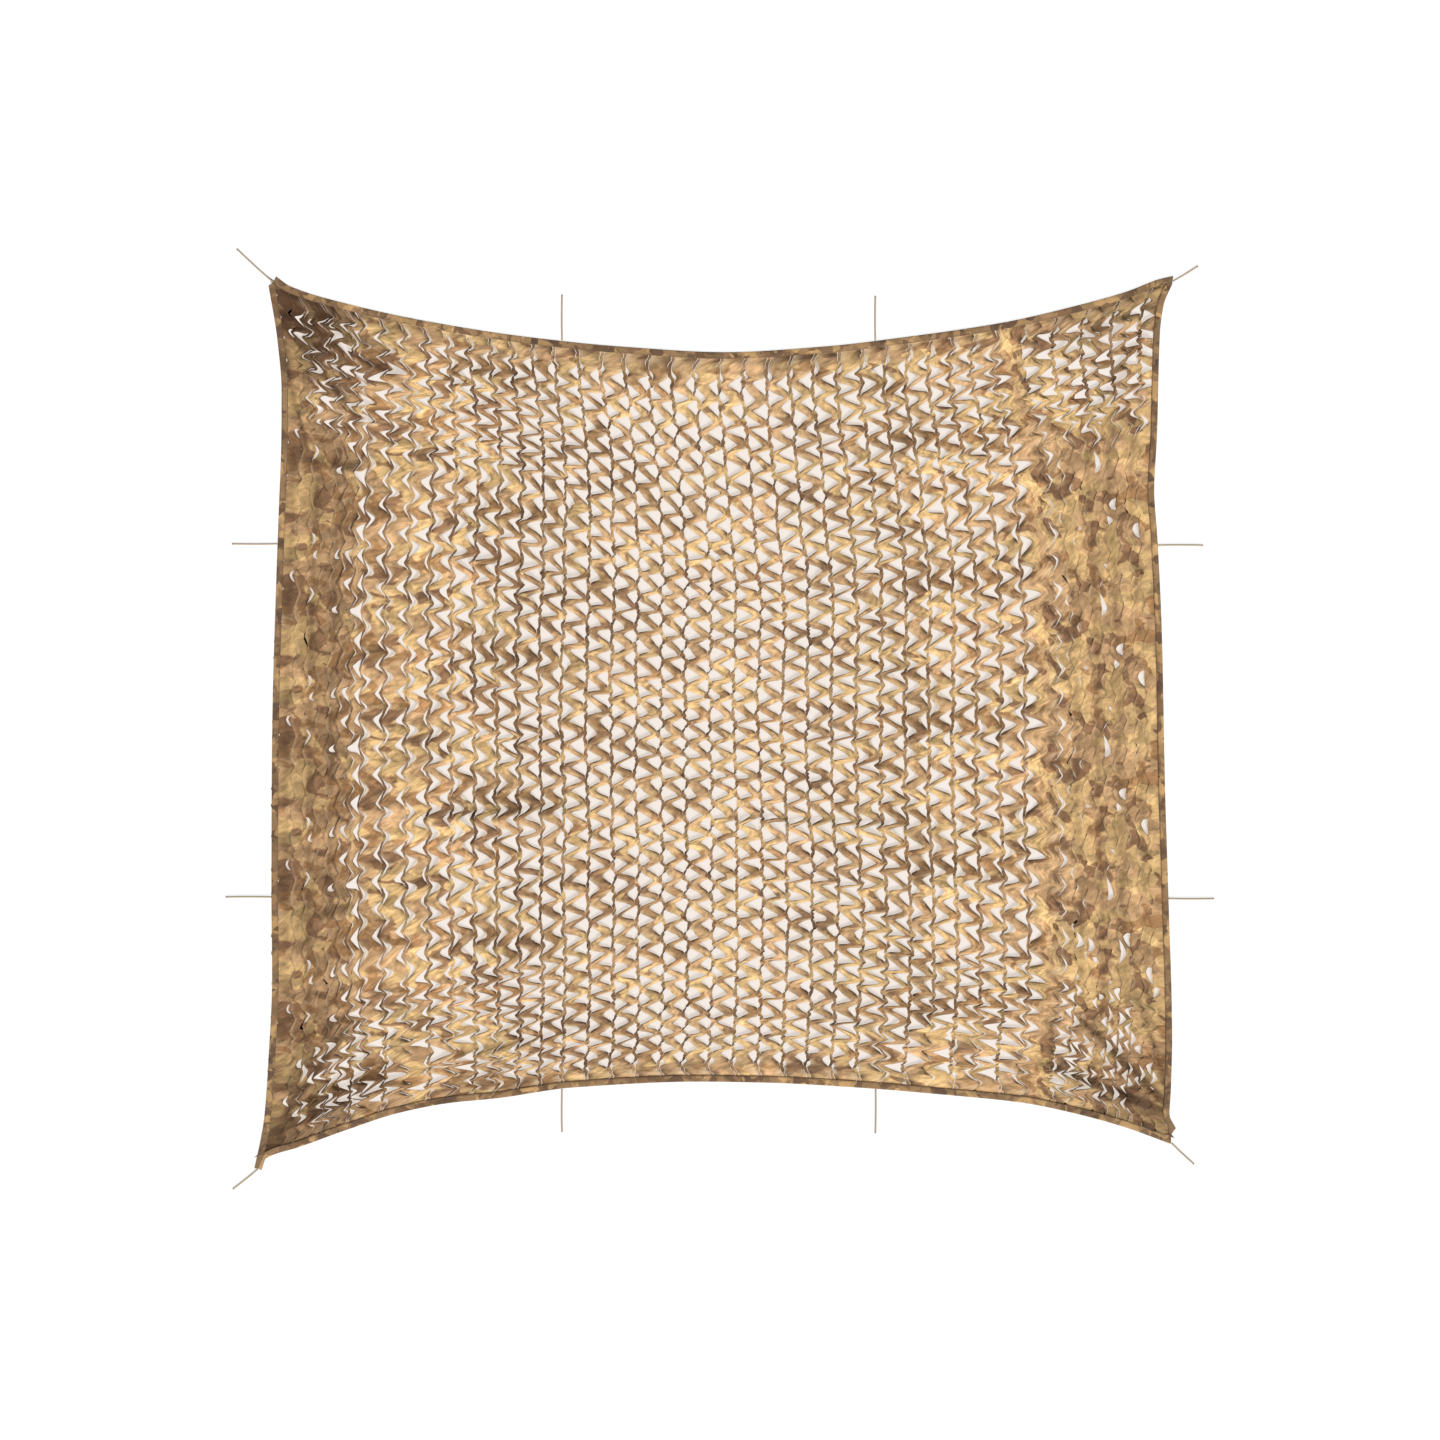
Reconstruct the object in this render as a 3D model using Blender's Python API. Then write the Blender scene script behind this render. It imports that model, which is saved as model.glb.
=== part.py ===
"""Camouflage netting: a square of leaf-cut cloth, pulled open from its corners and laid out flat.

All sizes are in metres. +X runs along the top and bottom edges, +Y up the two side edges, and +Z up
from the surface that the net lies on. The origin is on that surface, under the middle of the bound cloth.

The cloth is one length, slit into a lattice of zigzag ribbons that hang from thin upright strands, called
spines here. A place on it is given as (column, row): a column is the cloth from one spine to the next, and
a row is one repeat of the zigzag.
"""

import math
from typing import NamedTuple

import bmesh
import bpy
import numpy as np

# The cloth and its binding.
CLOTH_THICKNESS = 0.002
BINDING_WIDTH = 0.022
BINDING_LAYER = 0.001
BINDING_FOLD = 0.0015
PIECE_GAP = 0.0003
BINDING_HEIGHT = 2 * BINDING_LAYER + 2 * PIECE_GAP + CLOTH_THICKNESS
POCKET_FLOOR = BINDING_LAYER + PIECE_GAP
TUCK_DEPTH = 0.009
CLOTH_FREE_DEPTH = 0.026
MITRE_GAP = 0.0004
CORNER_NOTCHES = {"top_left": 0.006, "top_right": 0.001, "bottom_left": 0.001, "bottom_right": 0.009}

# The tie cords.
TIE_DIAMETER = 0.006
TIE_POINTS = 10
TIE_SIDES_STEP = 2

# How the edges are sampled.
TANGENT_REACH = 0.012
CORNER_REACH = 0.05
CORNER_STEPS = 151
SECTION_CLEARANCE = 0.008

# The lattice.
ROWS = 35
HIGH_AND_LOW_SHARE = 0.30
LEFT_BLEND = (0.20, 0.50)
RIGHT_BLEND = (0.55, 1.00)


class EdgeRow(NamedTuple):
    """How far an edge of the net draws in from the straight line between its ends, at one place."""

    share: float
    inset: float


class Edge(NamedTuple):
    """One edge of the net, from its left or lower end. The cloth is on the left of it where side is 1."""

    name: str
    start: tuple
    end: tuple
    side: int
    rows: tuple


TOP = Edge(
    "top",
    (-1.463, 1.488),
    (1.527, 1.490),
    -1,
    (
        EdgeRow(0.000, 0.000),
        EdgeRow(0.016, 0.033),
        EdgeRow(0.082, 0.093),
        EdgeRow(0.166, 0.148),
        EdgeRow(0.278, 0.201),
        EdgeRow(0.389, 0.235),
        EdgeRow(0.501, 0.253),
        EdgeRow(0.612, 0.234),
        EdgeRow(0.696, 0.205),
        EdgeRow(0.808, 0.156),
        EdgeRow(0.892, 0.099),
        EdgeRow(0.948, 0.052),
        EdgeRow(0.985, 0.010),
        EdgeRow(1.000, 0.000),
    ),
)
BOTTOM = Edge(
    "bottom",
    (-1.511, -1.490),
    (1.519, -1.403),
    1,
    (
        EdgeRow(0.000, 0.000),
        EdgeRow(0.004, 0.037),
        EdgeRow(0.042, 0.073),
        EdgeRow(0.097, 0.128),
        EdgeRow(0.152, 0.177),
        EdgeRow(0.207, 0.205),
        EdgeRow(0.262, 0.217),
        EdgeRow(0.344, 0.245),
        EdgeRow(0.454, 0.254),
        EdgeRow(0.550, 0.244),
        EdgeRow(0.650, 0.220),
        EdgeRow(0.757, 0.184),
        EdgeRow(0.839, 0.151),
        EdgeRow(0.894, 0.112),
        EdgeRow(0.949, 0.061),
        EdgeRow(1.000, 0.000),
    ),
)
LEFT = Edge(
    "left",
    (-1.5355, -1.483),
    (-1.4885, 1.457),
    -1,
    (
        EdgeRow(0.000, 0.000),
        EdgeRow(0.032, 0.019),
        EdgeRow(0.060, 0.031),
        EdgeRow(0.130, 0.042),
        EdgeRow(0.202, 0.049),
        EdgeRow(0.315, 0.042),
        EdgeRow(0.514, 0.036),
        EdgeRow(0.655, 0.041),
        EdgeRow(0.740, 0.046),
        EdgeRow(0.825, 0.051),
        EdgeRow(0.882, 0.049),
        EdgeRow(0.940, 0.032),
        EdgeRow(1.000, 0.000),
    ),
)
RIGHT = Edge(
    "right",
    (1.5355, -1.350),
    (1.5235, 1.463),
    1,
    (
        EdgeRow(0.000, 0.000),
        EdgeRow(0.016, 0.021),
        EdgeRow(0.045, 0.016),
        EdgeRow(0.110, 0.011),
        EdgeRow(0.283, 0.022),
        EdgeRow(0.402, 0.031),
        EdgeRow(0.580, 0.039),
        EdgeRow(0.700, 0.053),
        EdgeRow(0.755, 0.063),
        EdgeRow(0.820, 0.053),
        EdgeRow(0.940, 0.042),
        EdgeRow(0.975, 0.029),
        EdgeRow(1.000, 0.000),
    ),
)


class ColumnBand(NamedTuple):
    """Neighbouring columns of one width, measured low down, half way up and high up on the net."""

    columns: int
    low: float
    middle: float
    high: float


# The cloth is shut tight along both side edges and pulled wide open between them. The last wide column
# but one is a strip that has no cuts in it.
COLUMN_BANDS = (
    ColumnBand(7, 0.0430, 0.0372, 0.0390),
    ColumnBand(9, 0.0735, 0.0756, 0.0745),
    ColumnBand(14, 0.0810, 0.0820, 0.0815),
    ColumnBand(5, 0.0765, 0.0787, 0.0760),
    ColumnBand(1, 0.094, 0.108, 0.092),
    ColumnBand(1, 0.050, 0.050, 0.056),
    ColumnBand(8, 0.040, 0.035, 0.052),
)
COLUMNS = sum(band.columns for band in COLUMN_BANDS)


class RowBand(NamedTuple):
    """Neighbouring rows of one height, measured at the left edge, in the middle and at the right edge."""

    rows: int
    left: float
    middle: float
    right: float


ROW_BANDS = (
    RowBand(3, 0.045, 0.056, 0.045),
    RowBand(5, 0.062, 0.066, 0.055),
    RowBand(20, 0.0970, 0.0677, 0.1005),
    RowBand(5, 0.066, 0.078, 0.057),
    RowBand(2, 0.070, 0.080, 0.055),
)


class Wave(NamedTuple):
    """One slow wave in the pull of the cloth: its size, and the repeats that it has over the net."""

    along_x: float
    along_y: float
    columns: float
    rows: float
    phase: float


PULL_WAVES = (
    Wave(0.0050, 0.0020, 1.0, 2.3, 0.4),
    Wave(0.0035, 0.0040, 2.6, 1.2, 2.1),
    Wave(0.0020, 0.0030, 4.3, 3.4, 4.0),
)


class Crease(NamedTuple):
    """A raised crease that runs along a row, from one column to another."""

    row: float
    first_column: float
    last_column: float
    height: float


CREASES = (
    Crease(14, 9, 17, 0.014),
    Crease(13, 22, 31, 0.012),
    Crease(24, 10, 18, 0.008),
    Crease(3, 10, 18, 0.009),
    Crease(27, 0.5, 7, 0.010),
    Crease(11, 0.5, 7, 0.009),
)
CREASE_REACH = 0.5


class Pleat(NamedTuple):
    """A raised pleat that runs along a spine, from one row to another."""

    spine: int
    first_row: float
    last_row: float
    height: float


PLEATS = (
    Pleat(1, 5, 32, 0.009),
    Pleat(3, 3, 31, 0.012),
    Pleat(5, 7, 29, 0.008),
    Pleat(38, 5, 29, 0.009),
    Pleat(40, 3, 31, 0.012),
    Pleat(42, 5, 31, 0.010),
    Pleat(44, 3, 33, 0.007),
)
PLEAT_REACH = 1.0


class Gather(NamedTuple):
    """A soft fold that runs from near a corner into the cloth."""

    start: tuple
    end: tuple
    height: float


GATHERS = (
    Gather((-1.40, 1.36), (-0.98, 1.13), 0.016),
    Gather((-1.41, 1.33), (-1.12, 0.96), 0.014),
    Gather((-1.43, 1.28), (-1.33, 0.86), 0.010),
    Gather((-1.45, -1.33), (-1.04, -1.16), 0.014),
    Gather((-1.44, -1.28), (-1.20, -0.94), 0.012),
    Gather((1.46, -1.30), (1.02, -1.13), 0.016),
    Gather((1.47, -1.26), (1.16, -0.96), 0.015),
    Gather((1.48, -1.20), (1.37, -0.86), 0.010),
    Gather((1.44, 1.36), (1.12, 1.22), 0.010),
    Gather((1.45, 1.32), (1.28, 1.02), 0.009),
)
GATHER_REACH = 0.055
FOLD_END_SHARE = 0.2

# The largest gaps, where the cloth is pulled widest: each lies just left of a spine, on a row's middle.
GAP_SPINES = range(18, 29)
GAP_ROWS = (8, 10, 12, 16, 18, 20, 22, 26, 28)
GAP_OUTLINE = (
    (-0.05, -0.26),
    (-0.05, 0.26),
    (-0.22, 0.31),
    (-0.60, 0.10),
    (-0.60, -0.10),
    (-0.22, -0.31),
)

# Where the cloth's solid has its mesh lines.
SPINE_LINES = (*range(0, 9), 10, 12, 14, 16, *range(17, 29), 30, 32, 34, *range(35, COLUMNS + 1))
ROW_LINES = (
    *(0, 1, 2.5, 3, 3.5, 5, 7, 9, 11, 12.5, 13, 13.5, 14, 15),
    *(17, 19, 21, 23, 23.5, 24, 24.5, 27, 29, 31, 33, 34, 35),
)


class Tie(NamedTuple):
    """A tie cord: where it leaves the binding, where it ends, and how far its middle bows sideways."""

    name: str
    root: tuple
    tip: tuple
    bow: float


TIES = (
    Tie("tie_corner_top_left", (-1.4728, 1.4689), (-1.594, 1.580), 0.0010),
    Tie("tie_corner_top_right", (1.5263, 1.4726), (1.609, 1.523), -0.0010),
    Tie("tie_corner_bottom_left", (-1.5250, -1.4875), (-1.607, -1.553), 0.0008),
    Tie("tie_corner_bottom_right", (1.5215, -1.4004), (1.596, -1.470), -0.0008),
    Tie("tie_top_left", (-0.5100, 1.2743), (-0.510, 1.427), 0.0010),
    Tie("tie_top_right", (0.5340, 1.2743), (0.534, 1.423), 0.0008),
    Tie("tie_bottom_left", (-0.5100, -1.2204), (-0.510, -1.363), -0.0012),
    Tie("tie_bottom_right", (0.5350, -1.2204), (0.534, -1.367), 0.0010),
    Tie("tie_left_upper", (-1.4588, 0.5970), (-1.610, 0.597), 0.0010),
    Tie("tie_left_lower", (-1.4789, -0.5800), (-1.631, -0.580), -0.0010),
    Tie("tie_right_upper", (1.4761, 0.5920), (1.626, 0.592), 0.0012),
    Tie("tie_right_lower", (1.5116, -0.5850), (1.663, -0.585), -0.0010),
)


def smooth_value(rows, shares):
    """The inset at each share, on a smooth curve through an edge's rows."""
    places = np.array([row.share for row in rows])
    insets = np.array([row.inset for row in rows])
    secants = np.diff(insets) / np.diff(places)
    before, after = secants[:-1], secants[1:]
    turning = before * after <= 0
    inner_slopes = np.where(turning, 0.0, 2 * before * after / np.where(turning, 1.0, before + after))
    slopes = np.concatenate((secants[:1], inner_slopes, secants[-1:]))
    shares = np.clip(shares, 0.0, 1.0)
    which = np.clip(np.searchsorted(places, shares, side="right") - 1, 0, len(rows) - 2)
    width = places[which + 1] - places[which]
    t = (shares - places[which]) / width
    rise = insets[which + 1] - insets[which]
    start_bend = slopes[which] * width - rise
    end_bend = rise - slopes[which + 1] * width
    return insets[which] + t * rise + t * (1 - t) * ((1 - t) * start_bend + t * end_bend)


def outer_line(edge, shares):
    """The points of an edge's outer line at these shares of its length."""
    shares = np.asarray(shares, float)
    start = np.array(edge.start)
    chord = np.array(edge.end) - start
    across = edge.side * np.array((-chord[1], chord[0])) / np.linalg.norm(chord)
    return start + shares[:, None] * chord + smooth_value(edge.rows, shares)[:, None] * across


def inward(edge, shares):
    """The unit directions from an edge's outer line into the cloth."""
    shares = np.asarray(shares, float)
    along = outer_line(edge, np.clip(shares + TANGENT_REACH, 0, 1))
    along = along - outer_line(edge, np.clip(shares - TANGENT_REACH, 0, 1))
    along /= np.linalg.norm(along, axis=1)[:, None]
    return edge.side * np.stack((-along[:, 1], along[:, 0]), axis=1)


def inner_line(edge, shares, depth):
    """The points at this depth inside an edge's outer line."""
    return outer_line(edge, shares) + depth * inward(edge, shares)


class Corner(NamedTuple):
    """Where two edges' inner lines meet: the point, and the share of each edge at which they do."""

    point: np.ndarray
    share_a: float
    share_b: float


def corner_at(edge_a, end_a, edge_b, end_b, depth):
    """Finds the corner of two edges at a depth. An end is 0 for an edge's start and 1 for its end."""
    steps = np.linspace(0.0, CORNER_REACH, CORNER_STEPS)
    shares_a = np.abs(end_a - steps)
    shares_b = np.abs(end_b - steps)
    line_a = inner_line(edge_a, shares_a, depth)
    line_b = inner_line(edge_b, shares_b, depth)
    apart = np.linalg.norm(line_a[:, None] - line_b[None, :], axis=2)
    a, b = np.unravel_index(np.argmin(apart), apart.shape)
    return Corner((line_a[a] + line_b[b]) / 2, float(shares_a[a]), float(shares_b[b]))


# Each corner's two edges, with the end of each that is there: 0 for its start and 1 for its end.
CORNER_EDGES = {
    "top_left": (TOP, 0, LEFT, 1),
    "top_right": (TOP, 1, RIGHT, 1),
    "bottom_left": (BOTTOM, 0, LEFT, 0),
    "bottom_right": (BOTTOM, 1, RIGHT, 0),
}
EDGE_CORNERS = {
    "top": ("top_left", "top_right"),
    "bottom": ("bottom_left", "bottom_right"),
    "left": ("bottom_left", "top_left"),
    "right": ("bottom_right", "top_right"),
}


def corners_at(depth):
    """All four corners at a depth, by name."""
    return {name: corner_at(*edges, depth) for name, edges in CORNER_EDGES.items()}


def corner_share(corners, corner, edge):
    """The share of an edge at which it meets its neighbour in a named corner."""
    edge_a = CORNER_EDGES[corner][0]
    return corners[corner].share_a if edge_a is edge else corners[corner].share_b


FREE_CORNERS = corners_at(CLOTH_FREE_DEPTH)
BINDING_CORNERS = corners_at(BINDING_WIDTH)


def split_point(corner):
    """Where a corner's two bindings part: the middle of its cut end, drawn in by its notch."""
    edge_a, end_a, edge_b, end_b = CORNER_EDGES[corner]
    end_of_a = outer_line(edge_a, [end_a])[0]
    end_of_b = outer_line(edge_b, [end_b])[0]
    middle = (end_of_a + end_of_b) / 2
    run = BINDING_CORNERS[corner].point - middle
    return middle + CORNER_NOTCHES[corner] * run / np.linalg.norm(run)


def free_edge(edge, shares):
    """The line on which the cloth comes out of an edge's binding, at shares of that line's own length."""
    low, high = EDGE_CORNERS[edge.name]
    first = corner_share(FREE_CORNERS, low, edge)
    last = corner_share(FREE_CORNERS, high, edge)
    return inner_line(edge, first + (last - first) * np.asarray(shares, float), CLOTH_FREE_DEPTH)


def patch_point(u, v):
    """The place of the cloth at share u of the way across and share v of the way up."""
    u = np.atleast_1d(np.asarray(u, float))
    v = np.atleast_1d(np.asarray(v, float))
    u_col = u[:, None]
    v_col = v[:, None]
    edges = (1 - v_col) * free_edge(BOTTOM, u) + v_col * free_edge(TOP, u)
    edges = edges + (1 - u_col) * free_edge(LEFT, v) + u_col * free_edge(RIGHT, v)
    low = (1 - u_col) * FREE_CORNERS["bottom_left"].point + u_col * FREE_CORNERS["bottom_right"].point
    high = (1 - u_col) * FREE_CORNERS["top_left"].point + u_col * FREE_CORNERS["top_right"].point
    return edges - (1 - v_col) * low - v_col * high


def running_share(bands, widths, place):
    """The share of the whole width that is passed at a place counted in columns or rows."""
    counts = np.concatenate(([0], np.cumsum([band[0] for band in bands])))
    sizes = np.concatenate(([0], np.cumsum([band[0] * width for band, width in zip(bands, widths)])))
    return np.interp(place, counts, sizes) / sizes[-1]


def ease(value):
    """A smooth step from 0 to 1."""
    value = np.clip(value, 0.0, 1.0)
    return value * value * (3 - 2 * value)


def lattice_shares(column, row):
    """The shares across and up the cloth of a place in the lattice, with the bands' changes of size."""
    column = np.atleast_1d(np.asarray(column, float))
    row = np.atleast_1d(np.asarray(row, float))
    height = row / ROWS
    low, middle, high = (
        running_share(COLUMN_BANDS, [getattr(band, name) for band in COLUMN_BANDS], column)
        for name in ("low", "middle", "high")
    )
    near_low = ease(1 - height / HIGH_AND_LOW_SHARE)
    near_high = ease(1 - (1 - height) / HIGH_AND_LOW_SHARE)
    u = middle + near_low * (low - middle) + near_high * (high - middle)
    left, centre, right = (
        running_share(ROW_BANDS, [getattr(band, name) for band in ROW_BANDS], row)
        for name in ("left", "middle", "right")
    )
    near_left = ease((LEFT_BLEND[1] - u) / (LEFT_BLEND[1] - LEFT_BLEND[0]))
    near_right = ease((u - RIGHT_BLEND[0]) / (RIGHT_BLEND[1] - RIGHT_BLEND[0]))
    v = centre + near_left * (left - centre) + near_right * (right - centre)
    return u, v


def cloth_place(column, row):
    """The plan position of a place in the lattice, with the slow waves in the cloth's pull."""
    u, v = lattice_shares(column, row)
    place = patch_point(u, v)
    held = 16 * u * (1 - u) * v * (1 - v)
    for wave in PULL_WAVES:
        angle = 2 * math.pi * (wave.columns * u + wave.rows * v) + wave.phase
        place[:, 0] += held * wave.along_x * np.sin(angle)
        place[:, 1] += held * wave.along_y * np.cos(angle)
    return place


def run_share(value, first, last):
    """How strongly a fold stands at a place along it: fading in and out at its two ends."""
    along = (value - first) / (last - first)
    return ease(min(along, 1 - along) / FOLD_END_SHARE)


def tent(distance, reach):
    """1 on a fold's crest, falling to 0 at its reach."""
    return max(0.0, 1.0 - abs(distance) / reach)


def gather_height(gather, x, y):
    """The height that a gather gives the cloth at a point."""
    start = np.array(gather.start)
    run = np.array(gather.end) - start
    length = np.linalg.norm(run)
    offset = np.array((x, y)) - start
    along = float(offset @ run) / length**2
    if not 0.0 < along < 1.0:
        return 0.0
    aside = abs(offset[0] * run[1] - offset[1] * run[0]) / length
    return gather.height * run_share(along, 0.0, 1.0) * tent(aside, GATHER_REACH)


def cloth_height(column, row, x, y):
    """The height of the cloth's underside at a place in the lattice: 0, or as high as its highest fold."""
    heights = [0.0]
    heights += [
        crease.height * run_share(column, crease.first_column, crease.last_column)
        * tent(row - crease.row, CREASE_REACH)
        for crease in CREASES
    ]
    heights += [
        pleat.height * run_share(row, pleat.first_row, pleat.last_row)
        * tent(column - pleat.spine, PLEAT_REACH)
        for pleat in PLEATS
    ]
    heights += [gather_height(gather, x, y) for gather in GATHERS]
    return max(heights)


def material(name, colour, roughness):
    """A plain material in a part's colour."""
    finish = bpy.data.materials.new(name)
    finish.use_nodes = True
    shader = finish.node_tree.nodes["Principled BSDF"]
    shader.inputs["Base Color"].default_value = (*colour, 1.0)
    shader.inputs["Roughness"].default_value = roughness
    shader.inputs["Metallic"].default_value = 0.0
    return finish


def add_object(name, mesh, finish):
    """Links a mesh to the scene as a named sub-part."""
    obj = bpy.data.objects.new(name, mesh)
    bpy.context.collection.objects.link(obj)
    mesh.materials.append(finish)
    return obj


def gap_in_cell(spine, low, high):
    """The row of the largest gap that lies in the cell left of a spine, or None."""
    if spine not in GAP_SPINES:
        return None
    inside = [row for row in GAP_ROWS if low < row < high]
    return inside[0] if inside else None


def cloth_vertex(bm, column, row, height=None):
    """Adds one point of the cloth's underside, at a height or at the height of its folds."""
    x, y = cloth_place(column, row)[0]
    z = cloth_height(column, row, x, y) if height is None else height
    return bm.verts.new((x, y, z))


def fill_cells(bm, grid):
    """Faces between the mesh lines, with the largest gaps left open."""
    for i, (left, right) in enumerate(zip(SPINE_LINES, SPINE_LINES[1:])):
        for j, (low, high) in enumerate(zip(ROW_LINES, ROW_LINES[1:])):
            corners = (grid[i][j], grid[i + 1][j], grid[i + 1][j + 1], grid[i][j + 1])
            gap_row = gap_in_cell(right, low, high)
            if gap_row is None:
                bm.faces.new(corners)
                continue
            near_low, near_high, top, far_high, far_low, bottom = (
                cloth_vertex(bm, right + across, gap_row + up)
                for across, up in GAP_OUTLINE
            )
            low_left, low_right, high_right, high_left = corners
            bm.faces.new((low_right, high_right, near_high, near_low))
            bm.faces.new((high_right, high_left, far_high, top, near_high))
            bm.faces.new((high_left, low_left, far_low, far_high))
            bm.faces.new((low_left, low_right, near_low, bottom, far_low))


def tuck_edge(bm, edge, free_verts, shares, corner_verts):
    """The flat margin of the cloth that lies inside an edge's binding."""
    low, high = EDGE_CORNERS[edge.name]
    first = corner_share(FREE_CORNERS, low, edge)
    last = corner_share(FREE_CORNERS, high, edge)
    places = inner_line(edge, first + (last - first) * np.asarray(shares), TUCK_DEPTH)
    tucked = [bm.verts.new((x, y, POCKET_FLOOR)) for x, y in places]
    for k in range(len(shares) - 1):
        ring = (free_verts[k], free_verts[k + 1], tucked[k + 1], tucked[k])
        bm.faces.new(ring if edge.side < 0 else ring[::-1])
    corner_verts[low].append(tucked[0])
    corner_verts[high].append(tucked[-1])


def build_net_panel(finish):
    """The cut cloth: one sheet with its folds and its largest gaps, tucked into the bindings all round."""
    bm = bmesh.new()
    last_spine = len(SPINE_LINES) - 1
    last_row = len(ROW_LINES) - 1
    grid = [
        [
            cloth_vertex(bm, spine, row, POCKET_FLOOR if i in (0, last_spine) or j in (0, last_row) else None)
            for j, row in enumerate(ROW_LINES)
        ]
        for i, spine in enumerate(SPINE_LINES)
    ]
    fill_cells(bm, grid)
    across_low = lattice_shares(SPINE_LINES, [0] * len(SPINE_LINES))[0]
    across_high = lattice_shares(SPINE_LINES, [ROWS] * len(SPINE_LINES))[0]
    up_left = lattice_shares([0] * len(ROW_LINES), ROW_LINES)[1]
    up_right = lattice_shares([COLUMNS] * len(ROW_LINES), ROW_LINES)[1]
    tucked = {name: [] for name in CORNER_EDGES}
    tuck_edge(bm, BOTTOM, [line[0] for line in grid], across_low, tucked)
    tuck_edge(bm, TOP, [line[-1] for line in grid], across_high, tucked)
    tuck_edge(bm, LEFT, grid[0], up_left, tucked)
    tuck_edge(bm, RIGHT, grid[-1], up_right, tucked)
    grid_corners = {
        "bottom_left": grid[0][0],
        "bottom_right": grid[-1][0],
        "top_left": grid[0][-1],
        "top_right": grid[-1][-1],
    }
    for name, (from_a, from_b) in tucked.items():
        bm.faces.new((grid_corners[name], from_a, from_b))
    bmesh.ops.recalc_face_normals(bm, faces=bm.faces)
    if sum(face.normal.z for face in bm.faces) < 0:
        bmesh.ops.reverse_faces(bm, faces=bm.faces)
    mesh = bpy.data.meshes.new("net_panel")
    bm.to_mesh(mesh)
    bm.free()
    panel = add_object("net_panel", mesh, finish)
    thicken = panel.modifiers.new("cloth_thickness", "SOLIDIFY")
    thicken.thickness = CLOTH_THICKNESS
    thicken.offset = 1.0
    return panel


def binding_profile():
    """The section of a folded strip: shares of its width from the fold, and heights, in order round it."""
    fold = BINDING_FOLD / BINDING_WIDTH
    top = BINDING_HEIGHT
    return (
        (0.0, BINDING_FOLD),
        (fold, 0.0),
        (1.0, 0.0),
        (1.0, BINDING_LAYER),
        (2 * fold, BINDING_LAYER),
        (2 * fold, top - BINDING_LAYER),
        (1.0, top - BINDING_LAYER),
        (1.0, top),
        (fold, top),
        (0.0, top - BINDING_FOLD),
    )


def binding_sections(edge):
    """The outer and inner points of an edge's binding, from one corner's cut end to the other's.

    It has a section at each row of the edge and half way between each two.
    """
    low, high = EDGE_CORNERS[edge.name]
    first = corner_share(BINDING_CORNERS, low, edge)
    last = corner_share(BINDING_CORNERS, high, edge)
    rows = np.array([row.share for row in edge.rows])
    rows = np.sort(np.concatenate((rows, (rows[:-1] + rows[1:]) / 2)))
    clear = SECTION_CLEARANCE / np.linalg.norm(np.subtract(edge.end, edge.start))
    rows = rows[(rows > first + clear) & (rows < last - clear)]
    shares = np.concatenate(((0.0, first / 2, first), rows, (last, (1.0 + last) / 2, 1.0)))
    outer = outer_line(edge, shares)
    inner = inner_line(edge, shares, BINDING_WIDTH)
    for corner, places in ((low, (0, 1, 2)), (high, (-1, -2, -3))):
        split = split_point(corner)
        meeting = BINDING_CORNERS[corner].point
        for place, share in zip(places, (0.0, 0.5, 1.0)):
            mitre = split + share * (meeting - split)
            back = outer[place] - mitre
            inner[place] = mitre + MITRE_GAP * back / np.linalg.norm(back)
    return outer, inner


def build_binding(edge, finish):
    """A strip folded over the edge of the cloth, from corner to corner."""
    outer, inner = binding_sections(edge)
    profile = binding_profile()
    bm = bmesh.new()
    sections = []
    for from_fold, to_open in zip(outer, inner):
        places = [from_fold + across * (to_open - from_fold) for across, _ in profile]
        section = [bm.verts.new((x, y, z)) for (x, y), (_, z) in zip(places, profile)]
        sections.append(section)
    for here, there in zip(sections, sections[1:]):
        for k in range(len(profile)):
            after = (k + 1) % len(profile)
            bm.faces.new((here[k], here[after], there[after], there[k]))
    bm.faces.new(sections[0])
    bm.faces.new(sections[-1][::-1])
    bmesh.ops.recalc_face_normals(bm, faces=bm.faces)
    mesh = bpy.data.meshes.new("binding_" + edge.name)
    bm.to_mesh(mesh)
    bm.free()
    return add_object("binding_" + edge.name, mesh, finish)


def tie_route(tie):
    """Evenly spaced points along a tie cord, on a shallow bow from its root to its tip."""
    root = np.array(tie.root)
    run = np.array(tie.tip) - root
    aside = np.array((-run[1], run[0])) / np.linalg.norm(run)
    shares = np.linspace(0.0, 1.0, TIE_POINTS)
    bows = 4 * tie.bow * shares * (1 - shares)
    return root + shares[:, None] * run + bows[:, None] * aside


def build_tie(tie, finish):
    """A plain round cord with cut ends, lying on the surface."""
    curve = bpy.data.curves.new(tie.name, "CURVE")
    curve.dimensions = "3D"
    curve.bevel_depth = TIE_DIAMETER / 2
    curve.bevel_resolution = TIE_SIDES_STEP
    curve.use_fill_caps = True
    spline = curve.splines.new("POLY")
    spline.points.add(TIE_POINTS - 1)
    for point, (x, y) in zip(spline.points, tie_route(tie)):
        point.co = (x, y, TIE_DIAMETER / 2, 1.0)
    obj = bpy.data.objects.new(tie.name, curve)
    bpy.context.collection.objects.link(obj)
    curve.materials.append(finish)
    return obj


def main():
    """Empties the scene and builds the net."""
    for obj in list(bpy.data.objects):
        bpy.data.objects.remove(obj, do_unlink=True)
    cloth = material("printed_cloth", (0.46, 0.29, 0.15), 0.85)
    strip = material("binding_cloth", (0.35, 0.22, 0.12), 0.85)
    cord = material("tie_cord", (0.55, 0.44, 0.30), 0.75)
    build_net_panel(cloth)
    for edge in (TOP, BOTTOM, LEFT, RIGHT):
        build_binding(edge, strip)
    for tie in TIES:
        build_tie(tie, cord)


main()
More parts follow.
